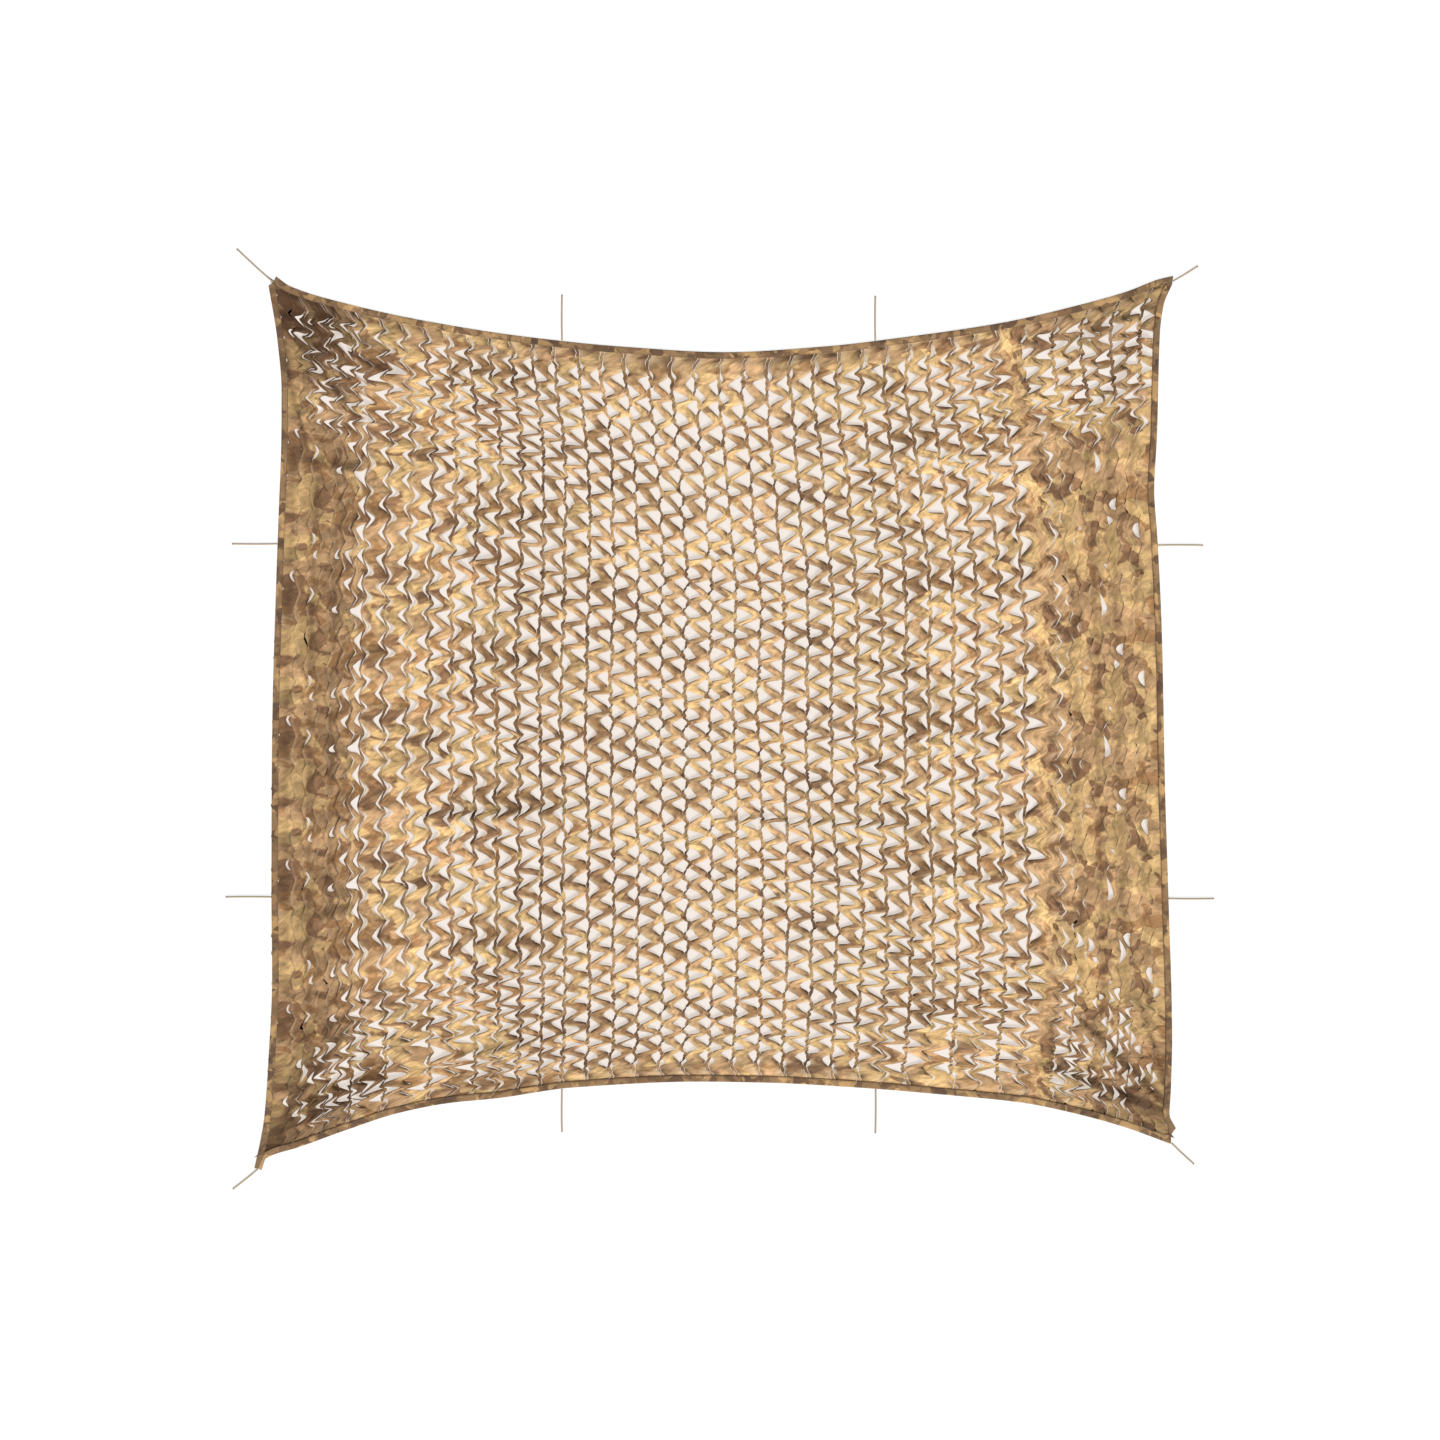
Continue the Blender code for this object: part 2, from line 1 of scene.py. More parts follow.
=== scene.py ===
"""Camouflage netting, spread out flat: leaf-cut printed cloth, its folded bindings and its tie cords.

All sizes are in metres. +X runs along the top and bottom edges, +Y up the side edges, +Z up from the
surface that the net lies on. A place on the cloth is given as (column, row): a column is the cloth from
one upright strand, called a spine, to the next, and a row is one repeat of the zigzag ribbons.
"""

import logging
import math
from dataclasses import dataclass, field
from enum import Enum
from typing import Any, Sequence

import bmesh
import bpy
import numpy as np
from bpy.types import Material, Mesh, Node, NodeSocket, NodeTree, Object
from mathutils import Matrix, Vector


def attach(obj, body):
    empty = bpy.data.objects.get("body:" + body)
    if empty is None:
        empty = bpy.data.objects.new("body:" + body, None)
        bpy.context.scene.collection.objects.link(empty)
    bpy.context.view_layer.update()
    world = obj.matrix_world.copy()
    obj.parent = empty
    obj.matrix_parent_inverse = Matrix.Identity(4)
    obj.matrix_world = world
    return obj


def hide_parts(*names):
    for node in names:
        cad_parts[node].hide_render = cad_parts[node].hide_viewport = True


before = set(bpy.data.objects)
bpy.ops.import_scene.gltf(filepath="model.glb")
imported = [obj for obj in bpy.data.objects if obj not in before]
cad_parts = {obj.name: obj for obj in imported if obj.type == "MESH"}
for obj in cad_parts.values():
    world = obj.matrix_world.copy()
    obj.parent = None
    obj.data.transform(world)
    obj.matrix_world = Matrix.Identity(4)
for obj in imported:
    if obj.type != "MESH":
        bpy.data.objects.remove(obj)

LOG = logging.getLogger("camouflage_netting")
BODY = "root"
Array = np.ndarray
Pair = tuple[float, float]
Triple = tuple[float, float, float]
Values = tuple[float, ...]
Table = tuple[Values, ...]
Colour = Triple
Sockets = Sequence[tuple[str, str, Any]]
# The curve of a display's colours: where its straight start ends, that start's slope, and the curve's offset
# and power past it.
DISPLAY_START, DISPLAY_SLOPE, DISPLAY_OFFSET, DISPLAY_POWER = 0.04045, 12.92, 0.055, 2.4
FULL = 255


def from_display(red: int, green: int, blue: int) -> Colour:
    """The linear colour of a display's colour.

    Args:
        red: The red, from 0 to 255.
        green: The green.
        blue: The blue.

    Returns:
        The colour, from 0 to 1.
    """
    whole = 1 + DISPLAY_OFFSET
    return tuple(
        s / DISPLAY_SLOPE if s <= DISPLAY_START else ((s + DISPLAY_OFFSET) / whole) ** DISPLAY_POWER
        for s in (value / FULL for value in (red, green, blue))
    )


def ease(value: Array) -> Array:
    """A smooth step from 0 to 1."""
    value = np.clip(value, 0.0, 1.0)
    return value * value * (3 - 2 * value)


class Noise:
    """Smooth seeded noise on a plane, from -1 to 1, that can repeat."""

    def __init__(self, seed: int, across: int, up: int) -> None:
        """Makes the grid of values: how many there are sideways and upwards before it repeats."""
        self.values = np.random.default_rng(seed).uniform(-1, 1, (across, up))

    def at(self, x: Array, y: Array) -> Array:
        """The noise at places counted in grid steps.

        Args:
            x: The places sideways.
            y: The places upwards.

        Returns:
            One value for each place.
        """
        column, row = np.floor(x).astype(int), np.floor(y).astype(int)
        across, up = ease(x - column), ease(y - row)
        wide, tall = self.values.shape
        corners = [[self.values[(column + i) % wide, (row + j) % tall] for j in (0, 1)] for i in (0, 1)]
        low = corners[0][0] + across * (corners[1][0] - corners[0][0])
        high = corners[0][1] + across * (corners[1][1] - corners[0][1])
        return low + up * (high - low)


# The net's outline and lattice, the same as the solids'.


# How finely an edge is measured, and how far from its end, and how finely, two edges' meeting is looked for.
LENGTH_POINTS = 400
MEETING_REACH, MEETING_POINTS = 0.05, 151


@dataclass(frozen=True)
class Edge:
    """One bound edge of the net, from its left or lower end. The cloth is on the left where side is 1."""

    name: str
    start: Pair
    end: Pair
    side: int
    rows: Table

    def insets(self, shares: Array) -> Array:
        """The inset on a smooth curve through the edge's rows.

        Args:
            shares: The shares of its length.

        Returns:
            One inset for each share.
        """
        places = np.array([row[0] for row in self.rows])
        values = np.array([row[1] for row in self.rows])
        secants = np.diff(values) / np.diff(places)
        before, after = secants[:-1], secants[1:]
        turning = before * after <= 0
        inner = np.where(turning, 0.0, 2 * before * after / np.where(turning, 1.0, before + after))
        slopes = np.concatenate((secants[:1], inner, secants[-1:]))
        shares = np.clip(shares, 0.0, 1.0)
        which = np.clip(np.searchsorted(places, shares, side="right") - 1, 0, len(values) - 2)
        width = places[which + 1] - places[which]
        t = (shares - places[which]) / width
        rise = values[which + 1] - values[which]
        start_bend = slopes[which] * width - rise
        end_bend = rise - slopes[which + 1] * width
        return values[which] + t * rise + t * (1 - t) * ((1 - t) * start_bend + t * end_bend)

    def outer(self, shares: Sequence[float] | Array) -> Array:
        """The points of the outer line.

        Args:
            shares: The shares of its length.

        Returns:
            One X and Y for each share.
        """
        shares = np.asarray(shares, float)
        start = np.array(self.start)
        chord = np.array(self.end) - start
        across = self.side * np.array((-chord[1], chord[0])) / np.linalg.norm(chord)
        return start + shares[:, None] * chord + self.insets(shares)[:, None] * across

    def inward(self, shares: Sequence[float] | Array, reach: float = 0.012) -> Array:
        """The directions from the outer line into the cloth.

        Args:
            shares: The shares of its length.
            reach: How far to each side the line's own direction is taken, as a share.

        Returns:
            One unit vector for each share.
        """
        shares = np.asarray(shares, float)
        along = self.outer(np.clip(shares + reach, 0, 1)) - self.outer(np.clip(shares - reach, 0, 1))
        along /= np.linalg.norm(along, axis=1)[:, None]
        return self.side * np.stack((-along[:, 1], along[:, 0]), axis=1)

    def inner(self, shares: Sequence[float] | Array, depth: float) -> Array:
        """The points at this depth inside the outer line."""
        return self.outer(shares) + depth * self.inward(shares)

    def length(self) -> float:
        """The length of the outer line."""
        line = self.outer(np.linspace(0, 1, LENGTH_POINTS))
        return float(np.linalg.norm(np.diff(line, axis=0), axis=1).sum())


TOP = Edge(
    "top",
    (-1.463, 1.488),
    (1.527, 1.49),
    -1,
    (
        *((0.0, 0.0), (0.016, 0.033), (0.082, 0.093), (0.166, 0.148), (0.278, 0.201)),
        *((0.389, 0.235), (0.501, 0.253), (0.612, 0.234), (0.696, 0.205), (0.808, 0.156)),
        *((0.892, 0.099), (0.948, 0.052), (0.985, 0.01), (1.0, 0.0)),
    ),
)
BOTTOM = Edge(
    "bottom",
    (-1.511, -1.49),
    (1.519, -1.403),
    1,
    (
        *((0.0, 0.0), (0.004, 0.037), (0.042, 0.073), (0.097, 0.128), (0.152, 0.177)),
        *((0.207, 0.205), (0.262, 0.217), (0.344, 0.245), (0.454, 0.254), (0.55, 0.244)),
        *((0.65, 0.22), (0.757, 0.184), (0.839, 0.151), (0.894, 0.112), (0.949, 0.061)),
        (1.0, 0.0),
    ),
)
LEFT = Edge(
    "left",
    (-1.5355, -1.483),
    (-1.4885, 1.457),
    -1,
    (
        *((0.0, 0.0), (0.032, 0.019), (0.06, 0.031), (0.13, 0.042), (0.202, 0.049)),
        *((0.315, 0.042), (0.514, 0.036), (0.655, 0.041), (0.74, 0.046), (0.825, 0.051)),
        *((0.882, 0.049), (0.94, 0.032), (1.0, 0.0)),
    ),
)
RIGHT = Edge(
    "right",
    (1.5355, -1.35),
    (1.5235, 1.463),
    1,
    (
        *((0.0, 0.0), (0.016, 0.021), (0.045, 0.016), (0.11, 0.011), (0.283, 0.022)),
        *((0.402, 0.031), (0.58, 0.039), (0.7, 0.053), (0.755, 0.063), (0.82, 0.053)),
        *((0.94, 0.042), (0.975, 0.029), (1.0, 0.0)),
    ),
)
EDGES = (TOP, BOTTOM, LEFT, RIGHT)


@dataclass(frozen=True)
class Corner:
    """A corner of the net: its two edges, the end of each that is there, and its cut end's notch."""

    edge_a: Edge
    end_a: int
    edge_b: Edge
    end_b: int
    notch: float

    def meeting(self, depth: float) -> tuple[Array, float, float]:
        """Where the two inner lines of a depth meet.

        Args:
            depth: The depth of both lines.

        Returns:
            The point, and the share of each edge at which it lies.
        """
        steps = np.linspace(0.0, MEETING_REACH, MEETING_POINTS)
        shares_a, shares_b = np.abs(self.end_a - steps), np.abs(self.end_b - steps)
        line_a, line_b = self.edge_a.inner(shares_a, depth), self.edge_b.inner(shares_b, depth)
        apart = np.linalg.norm(line_a[:, None] - line_b[None, :], axis=2)
        a, b = np.unravel_index(np.argmin(apart), apart.shape)
        return (line_a[a] + line_b[b]) / 2, float(shares_a[a]), float(shares_b[b])

    def share_on(self, edge: Edge, depth: float) -> float:
        """The share of one of its edges at which the inner lines of a depth meet."""
        _, share_a, share_b = self.meeting(depth)
        return share_a if edge is self.edge_a else share_b

    def split(self, binding_width: float) -> Array:
        """Where the two bindings part: the middle of the cut end, drawn in by its notch.

        Args:
            binding_width: The width of both.

        Returns:
            The point's X and Y.
        """
        middle = (self.edge_a.outer([self.end_a])[0] + self.edge_b.outer([self.end_b])[0]) / 2
        run = self.meeting(binding_width)[0] - middle
        return middle + self.notch * run / np.linalg.norm(run)


CORNERS = {
    "top_left": Corner(TOP, 0, LEFT, 1, 0.006),
    "top_right": Corner(TOP, 1, RIGHT, 1, 0.001),
    "bottom_left": Corner(BOTTOM, 0, LEFT, 0, 0.001),
    "bottom_right": Corner(BOTTOM, 1, RIGHT, 0, 0.009),
}
EDGE_CORNERS = {
    "top": ("top_left", "top_right"),
    "bottom": ("bottom_left", "bottom_right"),
    "left": ("bottom_left", "top_left"),
    "right": ("bottom_right", "top_right"),
}


@dataclass(frozen=True)
class Lattice:
    """Maps a place in the lattice, in columns and rows, to its plan position on the spread net."""

    rows: int = 35
    depth: float = 0.026
    high_and_low_share: float = 0.3
    # The shares of the way across over which the rows change from the side's heights to the middle's.
    left_blend: Pair = (0.2, 0.5)
    right_blend: Pair = (0.55, 1.0)
    # How many columns, and their width low down, half way up and high up.
    column_bands: Table = (
        (7, 0.043, 0.0372, 0.039),
        (9, 0.0735, 0.0756, 0.0745),
        (14, 0.081, 0.082, 0.0815),
        (5, 0.0765, 0.0787, 0.076),
        (1, 0.094, 0.108, 0.092),
        (1, 0.05, 0.05, 0.056),
        (8, 0.04, 0.035, 0.052),
    )
    # How many rows, and their height at the left, in the middle and at the right.
    row_bands: Table = (
        (3, 0.045, 0.056, 0.045),
        (5, 0.062, 0.066, 0.055),
        (20, 0.097, 0.0677, 0.1005),
        (5, 0.066, 0.078, 0.057),
        (2, 0.07, 0.08, 0.055),
    )
    # How many points each free edge is laid out on, and how far back its run past the rim is taken from.
    free_points: int = 801
    back_step: float = 0.5
    # The slow waves in the pull: their sizes along X and Y, their repeats each way, and their phase.
    pull_waves: Table = (
        (0.005, 0.002, 1.0, 2.3, 0.4),
        (0.0035, 0.004, 2.6, 1.2, 2.1),
        (0.002, 0.003, 4.3, 3.4, 4.0),
    )

    @property
    def columns(self) -> int:
        """How many columns there are."""
        return int(sum(band[0] for band in self.column_bands))

    @property
    def uncut_column(self) -> int:
        """The column that is a wide strip without a second cut."""
        return int(sum(band[0] for band in self.column_bands[:4]))

    def free_edge(self, edge: Edge, shares: Array) -> Array:
        """The line on which the cloth comes out of a binding.

        Args:
            edge: The bound edge.
            shares: The shares of the line's own length.

        Returns:
            One X and Y for each share.
        """
        low, high = (CORNERS[name] for name in EDGE_CORNERS[edge.name])
        first, last = low.share_on(edge, self.depth), high.share_on(edge, self.depth)
        return edge.inner(first + (last - first) * shares, self.depth)

    def patch(self, u: Array, v: Array) -> Array:
        """The places between the four edges.

        Args:
            u: The shares of the way across.
            v: The shares of the way up.

        Returns:
            One X and Y for each pair.
        """
        fine = np.linspace(0, 1, self.free_points)
        lines = {}
        for edge in EDGES:
            table = self.free_edge(edge, fine)
            along = u if edge in (TOP, BOTTOM) else v
            lines[edge.name] = np.stack([np.interp(along, fine, table[:, k]) for k in (0, 1)], axis=1)
        points = {name: corner.meeting(self.depth)[0] for name, corner in CORNERS.items()}
        u, v = u[:, None], v[:, None]
        edges = (1 - v) * lines["bottom"] + v * lines["top"]
        edges = edges + (1 - u) * lines["left"] + u * lines["right"]
        low = (1 - u) * points["bottom_left"] + u * points["bottom_right"]
        high = (1 - u) * points["top_left"] + u * points["top_right"]
        return edges - (1 - v) * low - v * high

    @staticmethod
    def running_share(bands: Sequence[Sequence[float]], which: int, place: Array) -> Array:
        """The share of the whole size that is passed at a place.

        Args:
            bands: The bands: how many there are of each, and their sizes.
            which: Which of a band's sizes counts.
            place: The places, counted in columns or rows.

        Returns:
            One share for each place.
        """
        counts = np.concatenate(([0], np.cumsum([band[0] for band in bands])))
        sizes = np.concatenate(([0], np.cumsum([band[0] * band[which] for band in bands])))
        return np.interp(place, counts, sizes) / sizes[-1]

    def shares(self, column: Array, row: Array) -> tuple[Array, Array]:
        """How far across and up the cloth places in the lattice lie.

        Args:
            column: The places sideways, in columns.
            row: The places upwards, in rows.

        Returns:
            The shares across and the shares up.
        """
        height = row / self.rows
        low, middle, high = (self.running_share(self.column_bands, k, column) for k in (1, 2, 3))
        near_low = ease(1 - height / self.high_and_low_share)
        near_high = ease(1 - (1 - height) / self.high_and_low_share)
        u = middle + near_low * (low - middle) + near_high * (high - middle)
        left, centre, right = (self.running_share(self.row_bands, k, row) for k in (1, 2, 3))
        left_end, left_start = self.left_blend
        right_start, right_end = self.right_blend
        near_left = ease((left_start - u) / (left_start - left_end))
        near_right = ease((u - right_start) / (right_end - right_start))
        v = centre + near_left * (left - centre) + near_right * (right - centre)
        return u, v

    def place(self, column: Array, row: Array) -> Array:
        """The plan positions of places in the lattice, which runs on straight past its edges.

        Args:
            column: The places sideways, in columns.
            row: The places upwards, in rows.

        Returns:
            One X and Y for each place.
        """
        inner_column, inner_row = np.clip(column, 0, self.columns), np.clip(row, 0, self.rows)
        found = self.place_within(inner_column, inner_row)
        step = self.back_step
        for past, way in ((column - inner_column, 0), (row - inner_row, 1)):
            outside = np.abs(past) > 1e-9
            if outside.any():
                back = [inner_column[outside], inner_row[outside]]
                back[way] = back[way] - step * np.sign(past[outside])
                run = found[outside] - self.place_within(*back)
                found[outside] += run * (np.abs(past[outside]) / step)[:, None]
        return found

    def place_within(self, column: Array, row: Array) -> Array:
        """The plan positions of places inside the lattice, with the slow waves in the pull.

        Args:
            column: The places sideways, in columns.
            row: The places upwards, in rows.

        Returns:
            One X and Y for each place.
        """
        u, v = self.shares(column, row)
        place = self.patch(u, v)
        # This is 1 in the middle and 0 along the rim.
        held = 16 * u * (1 - u) * v * (1 - v)
        for along_x, along_y, across, up, phase in self.pull_waves:
            angle = 2 * math.pi * (across * u + up * v) + phase
            place[:, 0] += held * along_x * np.sin(angle)
            place[:, 1] += held * along_y * np.cos(angle)
        return place


@dataclass(frozen=True)
class Folds:
    """The raised creases, pleats and gathers in the spread cloth, the same as the solid's."""

    # A row, the columns between which the crease runs, and its height.
    creases: Table = (
        (14, 9, 17, 0.014),
        (13, 22, 31, 0.012),
        (24, 10, 18, 0.008),
        (3, 10, 18, 0.009),
        (27, 0.5, 7, 0.01),
        (11, 0.5, 7, 0.009),
    )
    # A column, the rows between which the pleat runs, and its height.
    pleats: Table = (
        (1, 5, 32, 0.009),
        (3, 3, 31, 0.012),
        (5, 7, 29, 0.008),
        (38, 5, 29, 0.009),
        (40, 3, 31, 0.012),
        (42, 5, 31, 0.01),
        (44, 3, 33, 0.007),
    )
    # Where a corner's fold starts and ends, X and Y of each, and its height.
    gathers: Table = (
        (-1.4, 1.36, -0.98, 1.13, 0.016),
        (-1.41, 1.33, -1.12, 0.96, 0.014),
        (-1.43, 1.28, -1.33, 0.86, 0.01),
        (-1.45, -1.33, -1.04, -1.16, 0.014),
        (-1.44, -1.28, -1.2, -0.94, 0.012),
        (1.46, -1.3, 1.02, -1.13, 0.016),
        (1.47, -1.26, 1.16, -0.96, 0.015),
        (1.48, -1.2, 1.37, -0.86, 0.01),
        (1.44, 1.36, 1.12, 1.22, 0.01),
        (1.45, 1.32, 1.28, 1.02, 0.009),
    )
    end_share: float = 0.2
    gather_reach: float = 0.055
    # The painted shade in the valley beside each kind of fold: how dark for each metre of its height, how far
    # to the side its middle lies, and how far it reaches. A crease's are in rows, a pleat's in columns, a
    # gather's in metres.
    crease_valley: Triple = (30, 0.3, 0.32)
    pleat_valley: Triple = (22, 0.55, 0.4)
    gather_valley: Triple = (46, 0.02, 0.02)
    valley_start: float = -0.2

    def run(self, value: Array, first: float, last: float) -> Array:
        """How strongly a fold stands at places along it: it fades in and out at its two ends."""
        along = (value - first) / (last - first)
        return ease(np.minimum(along, 1 - along) / self.end_share)

    def height(self, column: Array, row: Array, place: Array) -> Array:
        """The height of the cloth at places in the lattice.

        Args:
            column: The places sideways, in columns.
            row: The places upwards, in rows.
            place: Their plan positions.

        Returns:
            One height for each place.
        """
        tops = [np.zeros(len(row))]
        for at, first, last, rise in self.creases:
            tops.append(rise * self.run(column, first, last) * ease(1 - 2 * np.abs(row - at)))
        for at, first, last, rise in self.pleats:
            tops.append(rise * self.run(row, first, last) * ease(1 - np.abs(column - at)))
        for *line, rise in self.gathers:
            along, aside = self.beside(line, place)
            tops.append(rise * self.run(along, 0, 1) * ease(1 - np.abs(aside) / self.gather_reach))
        return np.max(tops, axis=0)

    @staticmethod
    def beside(line: Sequence[float], place: Array) -> tuple[Array, Array]:
        """Where places lie by a line.

        Args:
            line: The X and Y of its start and of its end.
            place: The places.

        Returns:
            The share of the line at which each place lies, and how far it lies to the line's right.
        """
        x_start, y_start, x_end, y_end = line
        run = np.array((x_end - x_start, y_end - y_start))
        length = np.linalg.norm(run)
        offset = place - (x_start, y_start)
        return offset @ run / length**2, (offset[:, 0] * run[1] - offset[:, 1] * run[0]) / length

    def shade(self, column: Array, row: Array, place: Array) -> Array:
        """How much painted shade darkens the cloth in the valley beside each fold.

        Args:
            column: The places sideways, in columns.
            row: The places upwards, in rows.
            place: Their plan positions.

        Returns:
            One value for each place, from 0 to 1.
        """
        found = [np.zeros(len(row))]
        depth, middle, reach = self.crease_valley
        for at, first, last, rise in self.creases:
            near = ease(1 - np.abs(row - at - middle) / reach)
            found.append(depth * rise * self.run(column, first, last) * near)
        depth, middle, reach = self.pleat_valley
        for at, first, last, rise in self.pleats:
            near = ease(1 - np.abs(column - at + middle) / reach)
            found.append(depth * rise * self.run(row, first, last) * near)
        depth, middle, reach = self.gather_valley
        for *line, rise in self.gathers:
            along, aside = self.beside(line, place)
            near = ease(1 - np.abs(aside - middle) / reach)
            found.append(depth * rise * self.run(along, self.valley_start, 1) * near)
        return np.max(found, axis=0)


# Helpers for nodes and objects.


class Nodes:
    """Adds nodes to one tree and joins them."""

    def __init__(self, tree: NodeTree) -> None:
        """Takes the tree to work in."""
        self.tree = tree

    def add(self, kind: str, inputs: dict[Any, Any] | None = None, **settings: Any) -> Node:
        """Adds a node.

        Args:
            kind: The node's type name.
            inputs: What each input takes, by name or number: a value, or the socket that feeds it.
            settings: The node's own properties.

        Returns:
            The node.
        """
        node = self.tree.nodes.new(kind)
        for name, value in settings.items():
            setattr(node, name, value)
        for name, value in (inputs or {}).items():
            if isinstance(value, NodeSocket):
                self.tree.links.new(value, node.inputs[name])
            else:
                node.inputs[name].default_value = value
        return node

    def math(self, operation: str, *values: Any) -> NodeSocket:
        """A Math node's result on one to three values or sockets."""
        return self.add("ShaderNodeMath", dict(enumerate(values)), operation=operation).outputs[0]

    def mix(self, factor: Any, first: Any, second: Any, blend: str = "MIX") -> NodeSocket:
        """The mix of two colours, by a Mix node's own sockets for colours."""
        inputs = {0: factor, 6: first, 7: second}
        return self.add("ShaderNodeMix", inputs, data_type="RGBA", blend_type=blend).outputs[2]

    def step(self, value: NodeSocket, start: float, end: float) -> NodeSocket:
        """A smooth step of a value, from 0 at the start to 1 at the end."""
        inputs = {"Value": value, "From Min": start, "From Max": end}
        return self.add("ShaderNodeMapRange", inputs, interpolation_type="SMOOTHSTEP").outputs["Result"]


def opaque(colour: Colour) -> Values:
    """A colour with its alpha."""
    return (*colour, 1.0)


def new_tree(
    name: str, kind: str, inputs: Sockets, output: tuple[str, str]
) -> tuple[Any, Nodes, Any, Any]:
    """Starts a node tree with its inputs and its one output.

    Args:
        name: The tree's name.
        kind: The tree's type name.
        inputs: The name, kind and default value of each input.
        output: The name and kind of the output.

    Returns:
        The tree, its Nodes helper, its input node and its output node.
    """
    tree = bpy.data.node_groups.new(name, kind)
    for label, socket_type, value in inputs:
        socket = tree.interface.new_socket(label, in_out="INPUT", socket_type=socket_type)
        if value is not None:
            socket.default_value = value
    tree.interface.new_socket(output[0], in_out="OUTPUT", socket_type=output[1])
    nodes = Nodes(tree)
    return tree, nodes, nodes.add("NodeGroupInput"), nodes.add("NodeGroupOutput")


def shader_group(name: str, inputs: Sockets, output: tuple[str, str]) -> tuple[Any, ...]:
    """Starts a shader node group, as new_tree does."""
    return new_tree(name, "ShaderNodeTree", inputs, output)


def geometry_tree(name: str, inputs: Sockets) -> tuple[Any, ...]:
    """Starts a geometry tree that takes and gives a geometry, as new_tree does."""
    geometry = ("Geometry", "NodeSocketGeometry")
    return new_tree(name, "GeometryNodeTree", ((*geometry, None), *inputs), geometry)


class ShaderGroups:
    """The surface effects that more than one finish uses, each built once."""

    # Each layer of blots on the print: its colour, its scale, where in the noise it is taken, and the level
    # past which it shows.
    LAYERS = (
        ("Brown", 12.0, (2.3, 0.9, 4.1), 0.55),
        ("Sand", 10.6, (3.1, 1.7, 5.2), 0.545),
        ("Dull", 11.8, (7.7, 4.3, 2.9), 0.59),
    )
    BLOT_EDGE = 0.014
    # How much the print's tone drifts over a hand's width, and its level.
    BROAD_SWING, BROAD_LEVEL = 0.62, 0.985
    # How far the edges of the painted shade facets are warped.
    FACET_WARP = 0.045

    def __init__(self) -> None:
        """Builds the groups."""
        self.print = self.build_print()
        self.weave = self.build_weave()
        self.soiling = self.build_soiling_and_shading()

    @staticmethod
    def build_print() -> NodeTree:
        """Blotches of sand, brown and dull purple brown on tan, repeating up the cloth, with painted
        fold-facet shade.
        """
        inputs = (
            ("Vector", "NodeSocketVector", None),
            ("Repeat", "NodeSocketFloat", 0.475),
            ("Size", "NodeSocketFloat", 1.0),
            ("Facets", "NodeSocketFloat", 0.56),
            ("Tan", "NodeSocketColor", (0.5, 0.3, 0.2, 1.0)),
            ("Brown", "NodeSocketColor", (0.3, 0.2, 0.1, 1.0)),
            ("Sand", "NodeSocketColor", (0.7, 0.5, 0.2, 1.0)),
            ("Dull", "NodeSocketColor", (0.2, 0.1, 0.1, 1.0)),
        )
        group, nodes, source, result = shader_group("camouflage_print", inputs, ("Color", "NodeSocketColor"))
        out = source.outputs
        split = nodes.add("ShaderNodeSeparateXYZ", {0: out["Vector"]})
        turn = nodes.math("DIVIDE", nodes.math("MULTIPLY", split.outputs[1], 2 * math.pi), out["Repeat"])
        radius = nodes.math("DIVIDE", out["Repeat"], 2 * math.pi)
        around = [nodes.math("MULTIPLY", nodes.math(way, turn), radius) for way in ("COSINE", "SINE")]
        spot = {0: split.outputs[0], 1: around[0], 2: around[1]}
        rolled = nodes.add("ShaderNodeCombineXYZ", spot).outputs[0]
        colour = out["Tan"]
        for name, scale, offset, level in ShaderGroups.LAYERS:
            moved = nodes.add("ShaderNodeVectorMath", {0: rolled, 1: offset}, operation="ADD").outputs[0]
            size = nodes.math("DIVIDE", scale, out["Size"])
            blot = nodes.add(
                "ShaderNodeTexNoise",
                {"Vector": moved, "Scale": size, "Detail": 2.2, "Roughness": 0.42, "Distortion": 0.55},
            )
            edge = ShaderGroups.BLOT_EDGE
            mask = nodes.step(blot.outputs["Fac"], level - edge, level + edge)
            colour = nodes.mix(mask, colour, out[name])
        broad = nodes.add("ShaderNodeTexNoise", {"Vector": rolled, "Scale": 4.2, "Detail": 1.0})
        off_middle = nodes.math("SUBTRACT", broad.outputs["Fac"], 0.5)
        drift = (ShaderGroups.BROAD_SWING, ShaderGroups.BROAD_LEVEL)
        colour = nodes.mix(1.0, colour, nodes.math("MULTIPLY_ADD", off_middle, *drift), "MULTIPLY")
        grain = {"Vector": rolled, "Scale": 38.0, "Detail": 3.0, "Roughness": 0.6}
        fine = nodes.add("ShaderNodeTexNoise", grain)
        tone = nodes.add(
            "ShaderNodeMapRange",
            {"Value": fine.outputs["Fac"], "From Min": 0.3, "From Max": 0.7, "To Min": 0.88, "To Max": 1.12},
        )
        colour = nodes.mix(1.0, colour, tone.outputs[0], "MULTIPLY")
        # Painted shade and light: flat facets of darker and paler tone stand in for the light on folded
        # cloth.
        warp = nodes.add("ShaderNodeTexNoise", {"Vector": rolled, "Scale": 34.0, "Detail": 2.0})
        warped = {0: warp.outputs["Color"], 1: (ShaderGroups.FACET_WARP,) * 3, 2: rolled}
        bent = nodes.add("ShaderNodeVectorMath", warped, operation="MULTIPLY_ADD")
        facets = nodes.add("ShaderNodeTexVoronoi", {"Vector": bent.outputs[0], "Scale": 27.0})
        chance = nodes.add("ShaderNodeSeparateColor", {0: facets.outputs["Color"]}).outputs[0]
        facet = nodes.math("MULTIPLY", nodes.math("SUBTRACT", chance, 0.5), out["Facets"])
        colour = nodes.mix(1.0, colour, nodes.math("ADD", facet, 1.0), "MULTIPLY")
        nodes.tree.links.new(colour, result.inputs["Color"])
        return group

